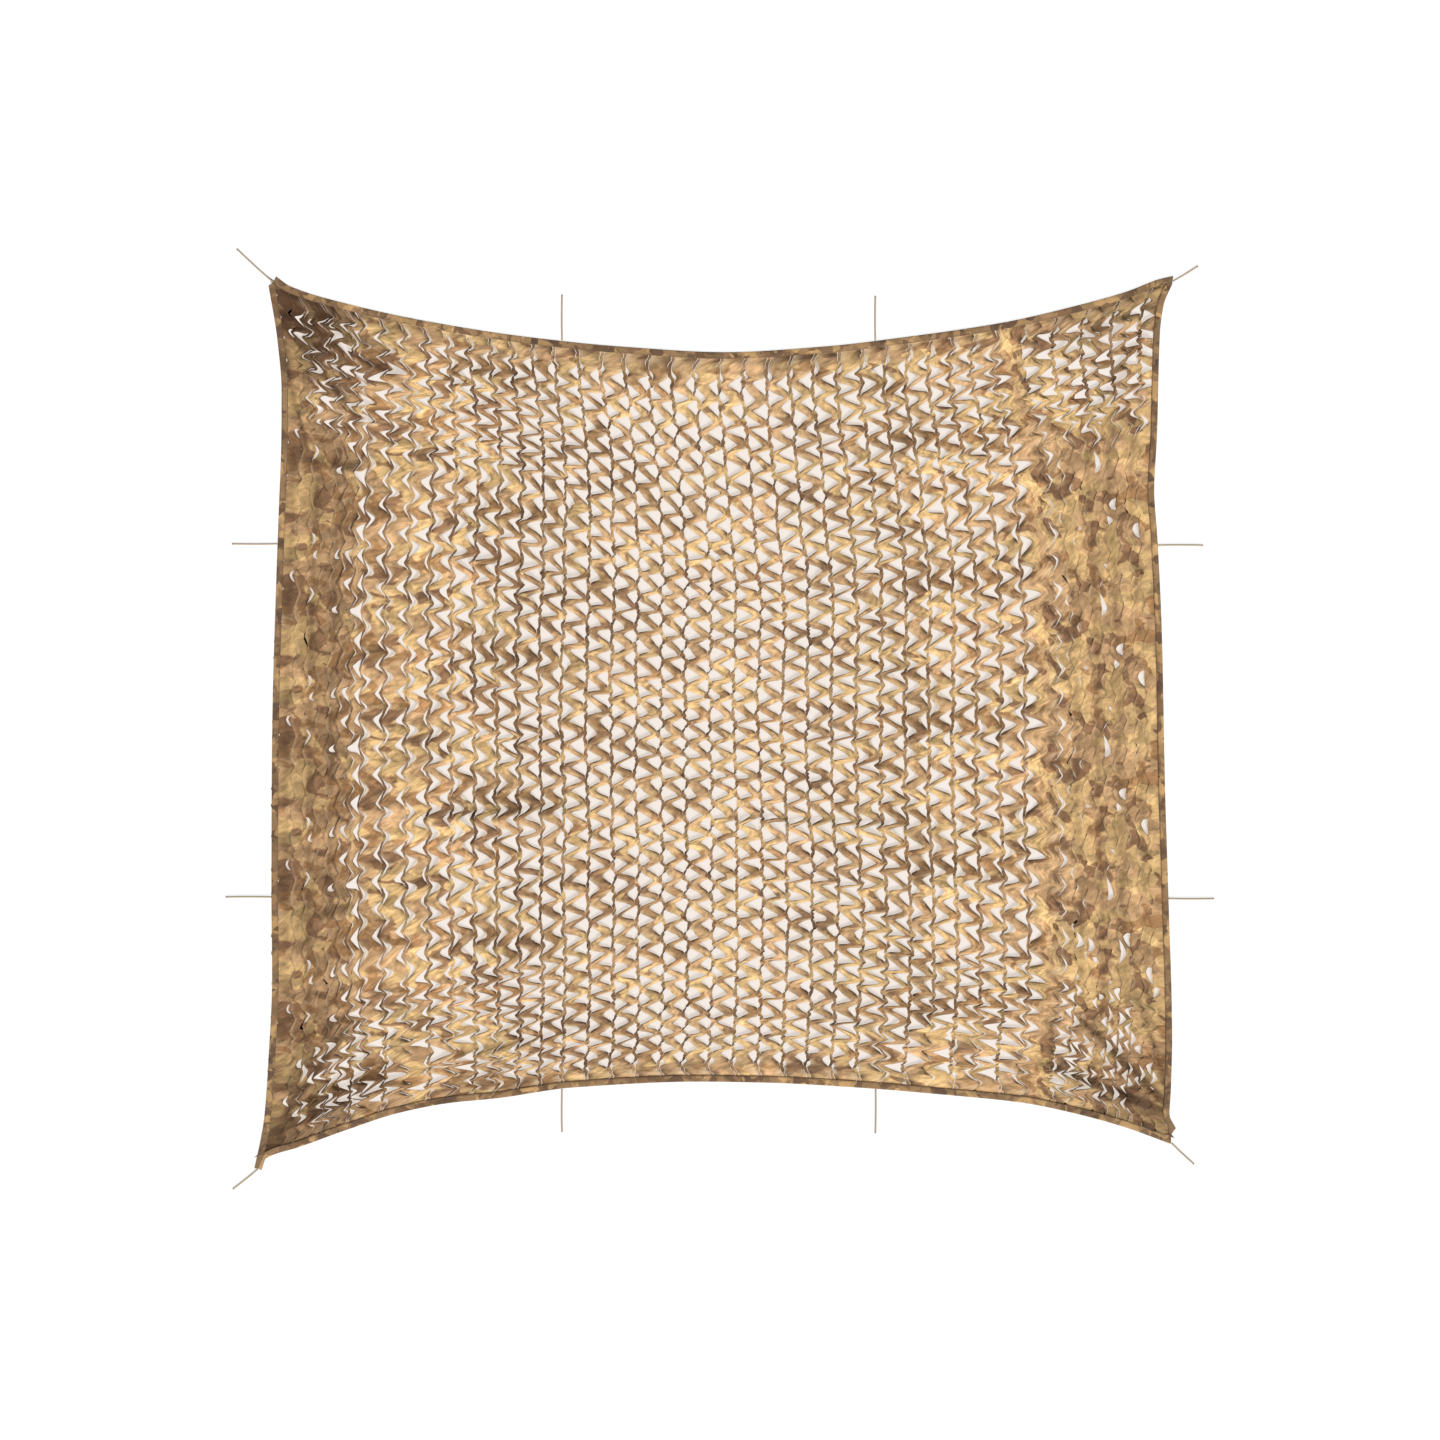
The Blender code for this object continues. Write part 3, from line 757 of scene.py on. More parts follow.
    @staticmethod
    def build_weave() -> NodeTree:
        """A plain weave's height, over and under in turn."""
        inputs = (("Vector", "NodeSocketVector", None), ("Thread", "NodeSocketFloat", 0.0009))
        group, nodes, source, result = shader_group("plain_weave", inputs, ("Height", "NodeSocketFloat"))
        split = nodes.add("ShaderNodeSeparateXYZ", {0: source.outputs["Vector"]})
        turns = nodes.math("DIVIDE", math.pi, source.outputs["Thread"])
        waves = [nodes.math("SINE", nodes.math("MULTIPLY", split.outputs[k], turns)) for k in (0, 1)]
        both = nodes.math("MULTIPLY", *waves)
        height = nodes.math("MULTIPLY_ADD", both, 0.5, 0.5)
        nodes.tree.links.new(height, result.inputs["Height"])
        return group

    @staticmethod
    def build_soiling_and_shading() -> NodeTree:
        """Uneven darker and paler patches: soiling from handling and sun, and painted shade in the crumple
        strokes.
        """
        inputs = (
            ("Vector", "NodeSocketVector", None),
            ("Color", "NodeSocketColor", (0.5, 0.5, 0.5, 1.0)),
            ("Amount", "NodeSocketFloat", 0.2),
            ("Scale", "NodeSocketFloat", 6.0),
        )
        group, nodes, source, result = shader_group("soiling", inputs, ("Color", "NodeSocketColor"))
        out = source.outputs
        clouds = {"Vector": out["Vector"], "Scale": out["Scale"], "Detail": 4.0}
        cloud = nodes.add("ShaderNodeTexNoise", clouds)
        swing = nodes.math("MULTIPLY", nodes.math("SUBTRACT", cloud.outputs["Fac"], 0.5), out["Amount"])
        tone = nodes.math("MULTIPLY_ADD", swing, 2.0, 1.0)
        colour = nodes.mix(1.0, out["Color"], tone, "MULTIPLY")
        nodes.tree.links.new(colour, result.inputs["Color"])
        return group


class Finish:
    """A material's start: its tree, its surface shader and its output."""

    def __init__(self, name: str, roughness: float) -> None:
        """Makes the material.

        Args:
            name: The material's name.
            roughness: The surface's roughness.
        """
        self.material = bpy.data.materials.new(name)
        self.material.use_nodes = True
        self.nodes = Nodes(self.material.node_tree)
        self.shader = self.material.node_tree.nodes["Principled BSDF"]
        self.shader.inputs["Roughness"].default_value = roughness

    def group(self, tree: NodeTree, inputs: dict[str, Any]) -> Node:
        """Places a node group in the material."""
        return self.nodes.add("ShaderNodeGroup", inputs, node_tree=tree)

    def printed(self, groups: ShaderGroups, place: Any, size: float, colours: Sequence[Colour]) -> Any:
        """Prints the cloth with blots of a size: the tan ground, then the brown, sand and dull ones."""
        named = dict(zip(("Tan", "Brown", "Sand", "Dull"), map(opaque, colours)))
        return self.group(groups.print, {"Vector": place, "Size": size, **named}).outputs["Color"]

    def raise_by(self, *bumps: tuple[Any, float, float]) -> None:
        """Raises the surface by heights laid one on another.

        Args:
            bumps: Each height's socket, how high it stands in metres, and its strength.
        """
        below: dict[str, Any] = {}
        for height, distance, strength in bumps:
            inputs = {"Height": height, "Distance": distance, "Strength": strength, **below}
            below = {"Normal": self.nodes.add("ShaderNodeBump", inputs).outputs[0]}
        self.feed("Normal", below["Normal"])

    def set(self, name: str, value: Any) -> None:
        """Sets one of the surface shader's own inputs."""
        self.shader.inputs[name].default_value = value

    def feed(self, name: str, socket: NodeSocket) -> None:
        """Joins a socket to one of the surface shader's inputs."""
        self.nodes.tree.links.new(socket, self.shader.inputs[name])

    def attribute(self, name: str) -> NodeSocket:
        """The value of one of the piece's own attributes."""
        return self.nodes.add("ShaderNodeAttribute", attribute_name=name).outputs["Fac"]

    def map(self, name: str) -> NodeSocket:
        """The place on one of the piece's own UV maps."""
        return self.nodes.add("ShaderNodeUVMap", uv_map=name).outputs["UV"]


@dataclass(frozen=True)
class PrintedCloth:
    """Thin woven polyester with a sand-coloured camouflage print, pale on its back."""

    tan: Colour = from_display(200, 160, 116)
    brown: Colour = from_display(170, 128, 85)
    sand: Colour = from_display(218, 180, 124)
    dull: Colour = from_display(148, 111, 79)
    # The colour of the painted highlight on the ribbons' lit edges.
    pale: Colour = from_display(240, 210, 166)
    back: Colour = from_display(238, 221, 200)
    # The dark brown of the painted shade, also laid thinly along each cut edge.
    shade_and_edge_brown: Colour = from_display(62, 36, 18)
    roughness: float = 0.82
    sheen: float = 0.12
    specular: float = 0.25
    # How high each bump stands, and its strength.
    weave_bump: Pair = (0.00012, 0.5)
    crumple_bump: Pair = (0.0035, 0.8)
    blot_size: float = 0.92
    # How strong each of these is at its full value: the painted highlight, the painted shade, and the darker
    # cut edge.
    highlight_share: float = 0.6
    shade_share: float = 0.85
    cut_edge_share: float = 0.35
    # Between which values the cloth's back and the darker cut edge come in.
    turned_step: Pair = (0.25, 0.75)
    cut_edge_step: Pair = (0.86, 1.0)

    def material(self, groups: ShaderGroups) -> Material:
        """Builds the material. It reads the cloth's three maps and its five values.

        Args:
            groups: The shader groups.

        Returns:
            The material.
        """
        finish = Finish("printed_cloth", self.roughness)
        nodes = finish.nodes
        flat = finish.map("flat_cloth")
        colours = (self.tan, self.brown, self.sand, self.dull)
        printed = finish.printed(groups, finish.map("print_place"), self.blot_size, colours)
        toned = finish.group(groups.soiling, {"Vector": flat, "Color": printed, "Amount": 0.22, "Scale": 9.0})
        # Painted shade and highlight: slanting strokes of darker and paler tone stand in for the light on
        # crumpled cloth, stronger where it is open.
        folds = finish.map("fold_place")
        leaning = {"Vector": folds, "Rotation": (0.0, 0.0, -0.6), "Scale": (0.42, 1.2, 1.0)}
        along = nodes.add("ShaderNodeMapping", leaning, vector_type="TEXTURE").outputs[0]
        creased = finish.attribute("creased")
        strokes = {"Vector": along, "Color": toned.outputs["Color"], "Amount": creased, "Scale": 44.0}
        toned = finish.group(groups.soiling, strokes)
        # Painted highlight: paler where the ribbons' edges would catch the light.
        lit = nodes.math("MULTIPLY", finish.attribute("worn_pale"), self.highlight_share)
        colour = nodes.mix(lit, toned.outputs["Color"], opaque(self.pale))
        turned = nodes.step(finish.attribute("turned_back"), *self.turned_step)
        colour = nodes.mix(turned, colour, opaque(self.back))
        # Painted shade from the in_shade values, then a thin darker line along each cut edge.
        shaded = nodes.math("MULTIPLY", finish.attribute("in_shade"), self.shade_share)
        colour = nodes.mix(shaded, colour, opaque(self.shade_and_edge_brown))
        at_edge = nodes.step(finish.attribute("cut_edge"), *self.cut_edge_step)
        colour = nodes.mix(nodes.math("MULTIPLY", at_edge, self.cut_edge_share), colour, opaque(self.shade_and_edge_brown))
        finish.feed("Base Color", colour)
        weave = finish.group(groups.weave, {"Vector": flat}).outputs["Height"]
        rough = {"Vector": along, "Scale": 34.0, "Detail": 3.0, "Roughness": 0.6, "Distortion": 0.4}
        crumple = nodes.add("ShaderNodeTexNoise", rough).outputs["Fac"]
        finish.raise_by((crumple, *self.crumple_bump), (weave, *self.weave_bump))
        finish.set("Sheen Weight", self.sheen)
        finish.set("Specular IOR Level", self.specular)
        return finish.material


@dataclass(frozen=True)
class BindingCloth:
    """The same cloth, folded and stitched along the edge."""

    tan: Colour = from_display(156, 122, 84)
    brown: Colour = from_display(126, 94, 62)
    sand: Colour = from_display(196, 156, 104)
    dull: Colour = from_display(112, 84, 60)
    # The dark of the painted shade.
    dark: Colour = (0.06, 0.035, 0.02)
    roughness: float = 0.8
    sheen: float = 0.1
    # How high each bump stands, and its strength.
    weave_bump: Pair = (0.00012, 0.5)
    pucker_bump: Pair = (0.0012, 0.7)
    blot_size: float = 0.62
    shade_share: float = 0.6

    def material(self, groups: ShaderGroups) -> Material:
        """Builds the material. It reads the flat_strip map, whose U runs along the strip, and in_shade.

        Args:
            groups: The shader groups.

        Returns:
            The material.
        """
        finish = Finish("binding_cloth", self.roughness)
        nodes = finish.nodes
        flat = finish.map("flat_strip")
        printed = finish.printed(groups, flat, self.blot_size, (self.tan, self.brown, self.sand, self.dull))
        toned = finish.group(groups.soiling, {"Vector": flat, "Color": printed, "Amount": 0.25, "Scale": 14.0})
        shaded = nodes.math("MULTIPLY", finish.attribute("in_shade"), self.shade_share)
        finish.feed("Base Color", nodes.mix(shaded, toned.outputs[0], opaque(self.dark)))
        weave = finish.group(groups.weave, {"Vector": flat}).outputs["Height"]
        pucker = nodes.add("ShaderNodeTexNoise", {"Vector": flat, "Scale": 90.0, "Detail": 2.0})
        finish.raise_by((pucker.outputs["Fac"], *self.pucker_bump), (weave, *self.weave_bump))
        finish.set("Sheen Weight", self.sheen)
        return finish.material


@dataclass(frozen=True)
class BraidedCord:
    """Thin braided cord in pale sand, sealed brown at its cut end."""

    colour: Colour = from_display(205, 186, 158)
    groove_shade: Colour = from_display(150, 126, 98)
    sealed: Colour = from_display(140, 110, 82)
    roughness: float = 0.72
    strand_bump: Pair = (0.0006, 0.7)
    strands: int = 4
    strand_pitch: float = 0.0055

    def material(self, groups: ShaderGroups) -> Material:
        """Builds the material. It reads the cord_wrap map, with U along the cord, and the sealed value.

        Args:
            groups: The shader groups.

        Returns:
            The material.
        """
        finish = Finish("tie_cord", self.roughness)
        nodes = finish.nodes
        wrap = nodes.add("ShaderNodeSeparateXYZ", {0: finish.map("cord_wrap")})
        along, around = wrap.outputs[0], wrap.outputs[1]
        runs = []
        for way in (1.0, -1.0):
            turns = nodes.math("MULTIPLY", along, 2 * math.pi / self.strand_pitch)
            turned = nodes.math("MULTIPLY_ADD", around, way * 2 * math.pi * self.strands, turns)
            runs.append(nodes.math("SINE", turned))
        strands = nodes.math("MULTIPLY_ADD", nodes.math("MAXIMUM", *runs), 0.5, 0.5)
        # Painted shade: the grooves between the strands are darker.
        colour = nodes.mix(strands, opaque(self.groove_shade), opaque(self.colour))
        handled = {"Vector": finish.map("cord_wrap"), "Color": colour, "Amount": 0.2, "Scale": 60.0}
        toned = finish.group(groups.soiling, handled)
        colour = nodes.mix(finish.attribute("sealed"), toned.outputs[0], opaque(self.sealed))
        finish.feed("Base Color", colour)
        finish.raise_by((strands, *self.strand_bump))
        return finish.material


@dataclass(frozen=True)
class SewingThread:
    """Twisted polyester thread."""

    colour: Colour = from_display(150, 118, 84)
    roughness: float = 0.6

    def material(self) -> Material:
        """Builds the material, with the thread's twist as a tone along it."""
        finish = Finish("sewing_thread", self.roughness)
        nodes = finish.nodes
        place = nodes.add("ShaderNodeTexCoord").outputs["Object"]
        grain = nodes.add("ShaderNodeTexNoise", {"Vector": place, "Scale": 900.0, "Detail": 2.0})
        tone = nodes.add(
            "ShaderNodeMapRange",
            {"Value": grain.outputs["Fac"], "From Min": 0.3, "From Max": 0.7, "To Min": 0.8, "To Max": 1.2},
        )
        finish.feed("Base Color", nodes.mix(1.0, opaque(self.colour), tone.outputs[0], "MULTIPLY"))
        return finish.material


@dataclass(frozen=True)
class PaleFloor:
    """A plain white floor, lit a little from below as a light table is, which throws little back."""

    name: str = "pale_floor"
    roughness: float = 0.95
    specular: float = 0.1
    seen: Colour = (0.3, 0.3, 0.3)
    thrown_back: Colour = (0.35, 0.34, 0.33)
    glow: Colour = (0.78, 0.78, 0.78)

    def material(self) -> Material:
        """Builds the material."""
        finish = Finish(self.name, self.roughness)
        nodes = finish.nodes
        direct = nodes.add("ShaderNodeLightPath").outputs["Is Camera Ray"]
        finish.feed("Base Color", nodes.mix(direct, opaque(self.thrown_back), opaque(self.seen)))
        finish.feed("Emission Strength", direct)
        finish.set("Emission Color", opaque(self.glow))
        finish.set("Specular IOR Level", self.specular)
        return finish.material


def link(obj: Object) -> Object:
    """Puts an object in the scene."""
    bpy.context.scene.collection.objects.link(obj)
    return obj


def mesh_object(name: str, points: Array, faces: Sequence[Sequence[int]]) -> Object:
    """Makes a smooth-shaded mesh object at the origin.

    Args:
        name: The object's name.
        points: Its vertices.
        faces: The vertices of each face.

    Returns:
        The object.
    """
    mesh = bpy.data.meshes.new(name)
    mesh.from_pydata([tuple(map(float, p)) for p in points], [], faces)
    mesh.polygons.foreach_set("use_smooth", [True] * len(mesh.polygons))
    mesh.update()
    return link(bpy.data.objects.new(name, mesh))


def tube(rings: int, around: int, way: int) -> list[tuple[int, ...]]:
    """The faces of a closed tube.

    Args:
        rings: How many rings of points it has.
        around: How many points a ring has.
        way: Which way round its faces run, 1 or -1.

    Returns:
        The points of each face.
    """
    faces = []
    for low in range(0, (rings - 1) * around, around):
        for k in range(around):
            after, high = (k + 1) % around, low + around
            faces.append((low + k, *(low + after, high + after, high + k)[::way]))
    first, last = tuple(range(around)), tuple(range((rings - 1) * around, rings * around))
    return [*faces, first[::-way], last[::way]]


def set_map(mesh: Mesh, name: str, places: Array) -> None:
    """Gives a mesh a UV map.

    Args:
        mesh: The mesh.
        name: The map's name.
        places: One place for each vertex.
    """
    layer = mesh.uv_layers.new(name=name)
    corners = np.empty(len(mesh.loops), np.int32)
    mesh.loops.foreach_get("vertex_index", corners)
    layer.data.foreach_set("uv", places[corners].astype(np.float32).ravel())


def set_value(mesh: Mesh, name: str, values: Array) -> None:
    """Gives a mesh a value for each vertex."""
    attribute = mesh.attributes.new(name, "FLOAT", "POINT")
    attribute.data.foreach_set("value", values.astype(np.float32))


def points_of(mesh: Mesh) -> Array:
    """The X, Y and Z of a mesh's vertices.

    Args:
        mesh: The mesh.

    Returns:
        One row for each vertex.
    """
    found = np.empty(len(mesh.vertices) * 3, np.float32)
    mesh.vertices.foreach_get("co", found)
    return found.reshape(-1, 3).astype(float)


def grow(name: str, tree: NodeTree, source: Mesh, values: dict[str, Any]) -> Mesh:
    """Runs a geometry tree on a mesh and takes the plain mesh that it makes.

    Args:
        name: The new mesh's name.
        tree: The geometry tree.
        source: The mesh that it works on.
        values: The tree's inputs, by name.

    Returns:
        The mesh.
    """
    carrier = link(bpy.data.objects.new(name + "_source", source))
    modifier = carrier.modifiers.new(tree.name, "NODES")
    modifier.node_group = tree
    for socket in tree.interface.items_tree:
        if socket.item_type == "SOCKET" and socket.in_out == "INPUT" and socket.name in values:
            modifier[socket.identifier] = values[socket.name]
    found = carrier.evaluated_get(bpy.context.evaluated_depsgraph_get())
    mesh = bpy.data.meshes.new_from_object(found)
    mesh.name = name
    carrier.modifiers.remove(modifier)
    bpy.data.objects.remove(carrier, do_unlink=True)
    return mesh


# The cut cloth.


class Strip(Enum):
    """What a point of the cut cloth belongs to."""

    SPINE = 0
    RIBBON = 1


@dataclass
class CutCloth:
    """One length of cloth, cut into zigzag ribbons between upright spines and pulled open."""

    lattice: Lattice = field(default_factory=Lattice)
    folds: Folds = field(default_factory=Folds)
    spine_width: float = 0.008
    ribbon_width: float = 0.029
    uncut_width: float = 0.096
    row_height: float = 0.095
    cut_swing: float = 0.011
    kerf: float = 0.001
    steps: int = 16
    bridge_steps: int = 1
    ribbon_places: Values = (-1.0, -0.8, -0.45, 0.0, 0.45, 0.8, 1.0)
    spine_places: Values = (-1.0, 0.0, 1.0)
    zigzag_sharpness: float = 0.985
    zigzag_start: float = 0.25
    uncut_lines: int = 15
    # How near two lengths along the flat cloth count as one, and where the print starts.
    hair: float = 1e-5
    print_start: float = 2.0
    # After how many rows the unevenness comes again, up to each of these columns and past them.
    repeat_ends: tuple[int, ...] = (7, 16, 30, 35)
    repeats: tuple[int, ...] = (5, 6, 7, 6, 5)
    uneven_steps: int = 96
    # How open the net is, from 0 to 1, at columns across it.
    open_columns: Values = (
        *(4.0, 6.4, 7.0, 8.0, 11.0, 14.5, 17.5, 20.0),
        *(24.0, 28.0, 31.0, 34.6, 36.2, 37.2),
    )
    openness: Values = (
        *(0.0, 0.12, 0.23, 0.26, 0.57, 0.79, 0.87, 0.98),
        *(0.93, 0.79, 0.69, 0.59, 0.17, 0.0),
    )
    # Sizes that change with how open it is. Lengths are in metres, the others are shares.
    open_steps: Values = (0.0, 0.25, 0.5, 0.75, 1.0)
    left_gap: Values = (-0.0075, 0.006, 0.016, 0.029, 0.042)
    gap_closed: Values = (0.05, 0.36, 0.37, 0.355, 0.37)
    left_gap_evenness: Values = (3.0, 1.6, 1.5, 1.2, 1.05)
    right_gap: Values = (-0.0075, 0.007, 0.017, 0.029, 0.042)
    right_gap_evenness: Values = (3.0, 1.5, 1.4, 1.1, 1.05)
    web: Values = (0.0, 0.001, 0.002, 0.0045, 0.0065)
    web_end: float = 0.52
    gap_unevenness: Values = (0.002, 0.008, 0.0165, 0.0145, 0.0095)
    closed_unevenness: float = 0.07
    spine_swing: Values = (0.011, 0.012, 0.0115, 0.008, -0.0035)
    swing_unevenness: Values = (0.0, 0.0, 0.005, 0.0085, 0.003)
    spine_half: Values = (0.004, 0.0046, 0.0048, 0.0038, 0.0032)
    spine_sway: Values = (0.0008, 0.0018, 0.0032, 0.004, 0.004)
    spine_jag: Values = (0.0, 0.0014, 0.0026, 0.0034, 0.0038)
    # How dark the painted shade on the spines lies, at columns across the net.
    spine_shade_columns: Values = (3.6, 5.5, 10.0, 12.0, 20.0, 24.0, 28.0, 36.5, 38.0)
    spine_shade: Values = (0.0, 0.66, 0.86, 0.74, 0.84, 0.55, 0.38, 0.33, 0.0)
    # How far down the cloth slips where a ribbon joins its right spine, in rows.
    slip: Values = (0.0, 0.0, 0.02, 0.08, 0.14)
    ribbon_lift: Values = (0.0022, 0.0035, 0.0065, 0.008, 0.0085)
    spine_lift: Values = (-0.0012, 0.001, 0.0045, 0.006, 0.007)
    relief: Values = (0.0, 0.4, 0.85, 0.97, 0.9)
    wrinkle: Values = (0.0045, 0.004, 0.003, 0.0018, 0.0015)
    # How much of a spine's shade a corner's pull takes away.
    patches_pulled: float = 0.9
    # How high a slanting ribbon lies, from its lower edge to its upper one, as shares of its lift.
    face_places: Values = (-1.0, -0.8, -0.45, 0.0, 0.45, 0.8, 1.0)
    face_heights: Values = (0.15, 0.3, 0.48, 0.72, 0.95, 0.9, 0.15)
    # The lips turned back at a ribbon's edges: their height, how often and unevenly they come at its left and
    # right, and their shares by openness and column.
    lip_height: float = 0.0035
    lip_chances: Table = ((0.75, 1.1), (0.1, 1.1))
    lip_openness: Table = ((0.0, 0.4, 0.6, 1.0), (0.7, 1.0, 1.0, 0.3))
    lip_columns: Table = ((3.4, 4.6, 37.0, 38.0), (0.25, 1.0, 1.0, 0.45))
    join_shade: float = 0.65
    # The painted shade in the corners: which side and end, how dark, and its reach in columns and rows.
    corner_gloom: Table = (
        *((0, 1, 0.84, 12, 7), (0, 0, 0.8, 13, 8)),
        *((1, 0, 0.66, 14, 9), (1, 1, 0.4, 12, 7)),
    )
    # Where a corner's pull has dragged every second cut open: a column and row, its reach in each, how open
    # it leaves them, and below what chance, from -1 to 1, one stays shut.
    corner_pulls: Table = (
        (42.0, 34.0, 10.0, 8.0, 1.14, -0.92),
        (33.5, 1.2, 7.5, 4.8, 1.02, -0.5),
        (8.0, 2.0, 7.0, 5.5, 0.93, -0.1),
        (5.0, 32.0, 5.5, 4.5, 0.7, 0.0),
    )
    pulled_unevenness: float = 0.016
    pulled_drift: float = 0.26
    pulled_swing: float = 0.011
    pulled_wider: float = 0.25
    most_open: float = 0.78
    shut_fade: float = 0.15
    pull_rise: float = 1.6
    # The odd holes: how far spines draw back, and how wide, up to which openness, how much later along and
    # past what chance a cut opens.
    odd_hole_draw: float = 0.0105
    odd_hole_width: float = 0.0165
    odd_hole_limit: float = 1.4
    odd_hole_delay: float = 0.22
    odd_hole_chance: float = 0.79
    odd_hole_fade: float = 0.06
    odd_hole_smaller: float = 0.6
    odd_hole_rise: float = 1.4
    closed_rise: float = 3
    draw_start: float = 0.25
    # Where they are many: a column and row, the reach in columns and rows, and how many.
    odd_hole_places: Table = ((38, 3, 9.5, 9, 0.8), (4, 2.8, 4.5, 5.5, 0.42))
    piece_starts: tuple[int, ...] = (0, 16, 30)
    base_height: float = 0.0012
    tuck: float = 0.011
    pocket_height: float = 0.0022
    least_height: float = 0.0006
    bake_margin: Pair = (0.02, 0.01)
    bake_share: float = 0.98
    # How far the wrinkles follow the zigzag, and how strong the painted crease shading is, closed and open.
    crease_swing: Pair = (0.28, 0.12)
    creased: Table = ((0.0, 0.35), (0.62, 1.0))
    broad: Noise = field(default_factory=lambda: Noise(51, 97, 61))
    narrow: Noise = field(default_factory=lambda: Noise(52, 211, 97))

    @property
    def flat_column(self) -> float:
        """The flat width of one spine and one ribbon."""
        return self.spine_width + self.ribbon_width

    @property
    def join_distance(self) -> float:
        """How near two points are when they are one: well under the kerf."""
        return self.kerf / 8

    @property
    def flat_size(self) -> Pair:
        """The size of the cloth before it is pulled open."""
        extra = self.uncut_width - self.ribbon_width
        return self.lattice.columns * self.flat_column + extra, self.lattice.rows * self.row_height

    def swing(self, row: Array) -> Array:
        """The zigzag at each row, from -1 at a ribbon's left join to 1 at its right join."""
        k = self.zigzag_sharpness
        return np.arcsin(k * np.sin(2 * math.pi * (row - self.zigzag_start))) / math.asin(k)

    def cell(
        self, name: str, ribbon_width: float, ribbon_places: Sequence[float], second_cut: bool
    ) -> Object:
        """One spine and the ribbon on its right, one row tall, flat, with its cuts open by the kerf.

        Args:
            name: The object's name.
            ribbon_width: The ribbon's flat width.
            ribbon_places: Where the ribbon's lines of points run, from -1 at its left edge to 1.
            second_cut: Whether the ribbon is cut from the next spine too.

        Returns:
            The object.
        """
        points: list[Triple] = []
        faces: list[tuple[int, ...]] = []
        half_spine = self.spine_width / 2
        for strip in Strip:
            places = self.spine_places if strip is Strip.SPINE else ribbon_places
            width = self.spine_width if strip is Strip.SPINE else ribbon_width
            middle = 0.0 if strip is Strip.SPINE else half_spine + ribbon_width / 2
            first = len(points)
            for step in range(self.steps + 1):
                row = step / self.steps
                shift = self.cut_swing * float(self.swing(np.array(row)))
                left_bridge = min(step, self.steps - step) <= self.bridge_steps
                right_bridge = abs(step - self.steps // 2) <= self.bridge_steps
                for place in places:
                    x = middle + place * width / 2
                    outward = place if strip is Strip.RIBBON else -place
                    on_left_cut = outward == -1.0
                    on_right_cut = outward == 1.0
                    open_here = (on_left_cut and not left_bridge) or (
                        on_right_cut and not right_bridge and (second_cut or strip is Strip.SPINE)
                    )
                    if open_here:
                        x -= math.copysign(self.kerf / 2, place)
                    points.append((x + shift, row * self.row_height, 0.0))
            wide = len(places)
            for step in range(self.steps):
                for k in range(wide - 1):
                    corner = first + step * wide + k
                    faces.append((corner, corner + 1, corner + wide + 1, corner + wide))
        return mesh_object(name, np.array(points), faces)

    def tiling_tree(self, finish: Material) -> NodeTree:
        """The geometry tree that lays the cells out in columns and rows, joins them and dresses them.

        Args:
            finish: The cloth's material.

        Returns:
            The tree.
        """
        inputs = (
            ("Cell", "NodeSocketObject", None),
            ("Uncut Cell", "NodeSocketObject", None),
            ("Columns", "NodeSocketInt", 2),
            ("Rows", "NodeSocketInt", 2),
            ("Column Width", "NodeSocketFloat", 0.04),
            ("Row Height", "NodeSocketFloat", 0.1),
            ("Uncut Column", "NodeSocketInt", 0),
            ("Uncut Extra", "NodeSocketFloat", 0.0),
            ("Join Distance", "NodeSocketFloat", 0.0001),
        )
        tree, nodes, source, result = geometry_tree("cut_cloth_tiling", inputs)
        out = source.outputs
        total = nodes.math("MULTIPLY", out["Columns"], out["Rows"])
        spots = nodes.add("GeometryNodeMeshLine", {"Count": total}, mode="OFFSET")
        index = nodes.add("GeometryNodeInputIndex").outputs[0]
        column = nodes.math("MODULO", index, out["Columns"])
        row = nodes.math("FLOOR", nodes.math("DIVIDE", nodes.math("ADD", index, 0.5), out["Columns"]))
        past = nodes.math("GREATER_THAN", column, nodes.math("ADD", out["Uncut Column"], 0.5))
        extra = nodes.math("MULTIPLY", past, out["Uncut Extra"])
        x = nodes.math("MULTIPLY_ADD", column, out["Column Width"], extra)
        y = nodes.math("MULTIPLY", row, out["Row Height"])
        spot = nodes.add("ShaderNodeCombineXYZ", {0: x, 1: y})
        moved = {"Geometry": spots.outputs[0], "Position": spot.outputs[0]}
        placed = nodes.add("GeometryNodeSetPosition", moved)
        is_uncut = nodes.math("COMPARE", column, out["Uncut Column"], 0.5)
        is_cut = nodes.math("SUBTRACT", 1.0, is_uncut)
        joined = nodes.add("GeometryNodeJoinGeometry")
        for name, chosen in (("Cell", is_cut), ("Uncut Cell", is_uncut)):
            shape = nodes.add("GeometryNodeObjectInfo", {"Object": out[name]})
            laid = nodes.add(
                "GeometryNodeInstanceOnPoints",
                {"Points": placed.outputs[0], "Selection": chosen, "Instance": shape.outputs["Geometry"]},
            )
            tree.links.new(laid.outputs[0], joined.inputs[0])
        real = nodes.add("GeometryNodeRealizeInstances", {0: joined.outputs[0]})
        near = {"Geometry": real.outputs[0], "Distance": out["Join Distance"]}
        merged = nodes.add("GeometryNodeMergeByDistance", near)
        dressed = nodes.add("GeometryNodeSetMaterial", {"Geometry": merged.outputs[0], "Material": finish})
        tree.links.new(dressed.outputs[0], result.inputs[0])
        return tree

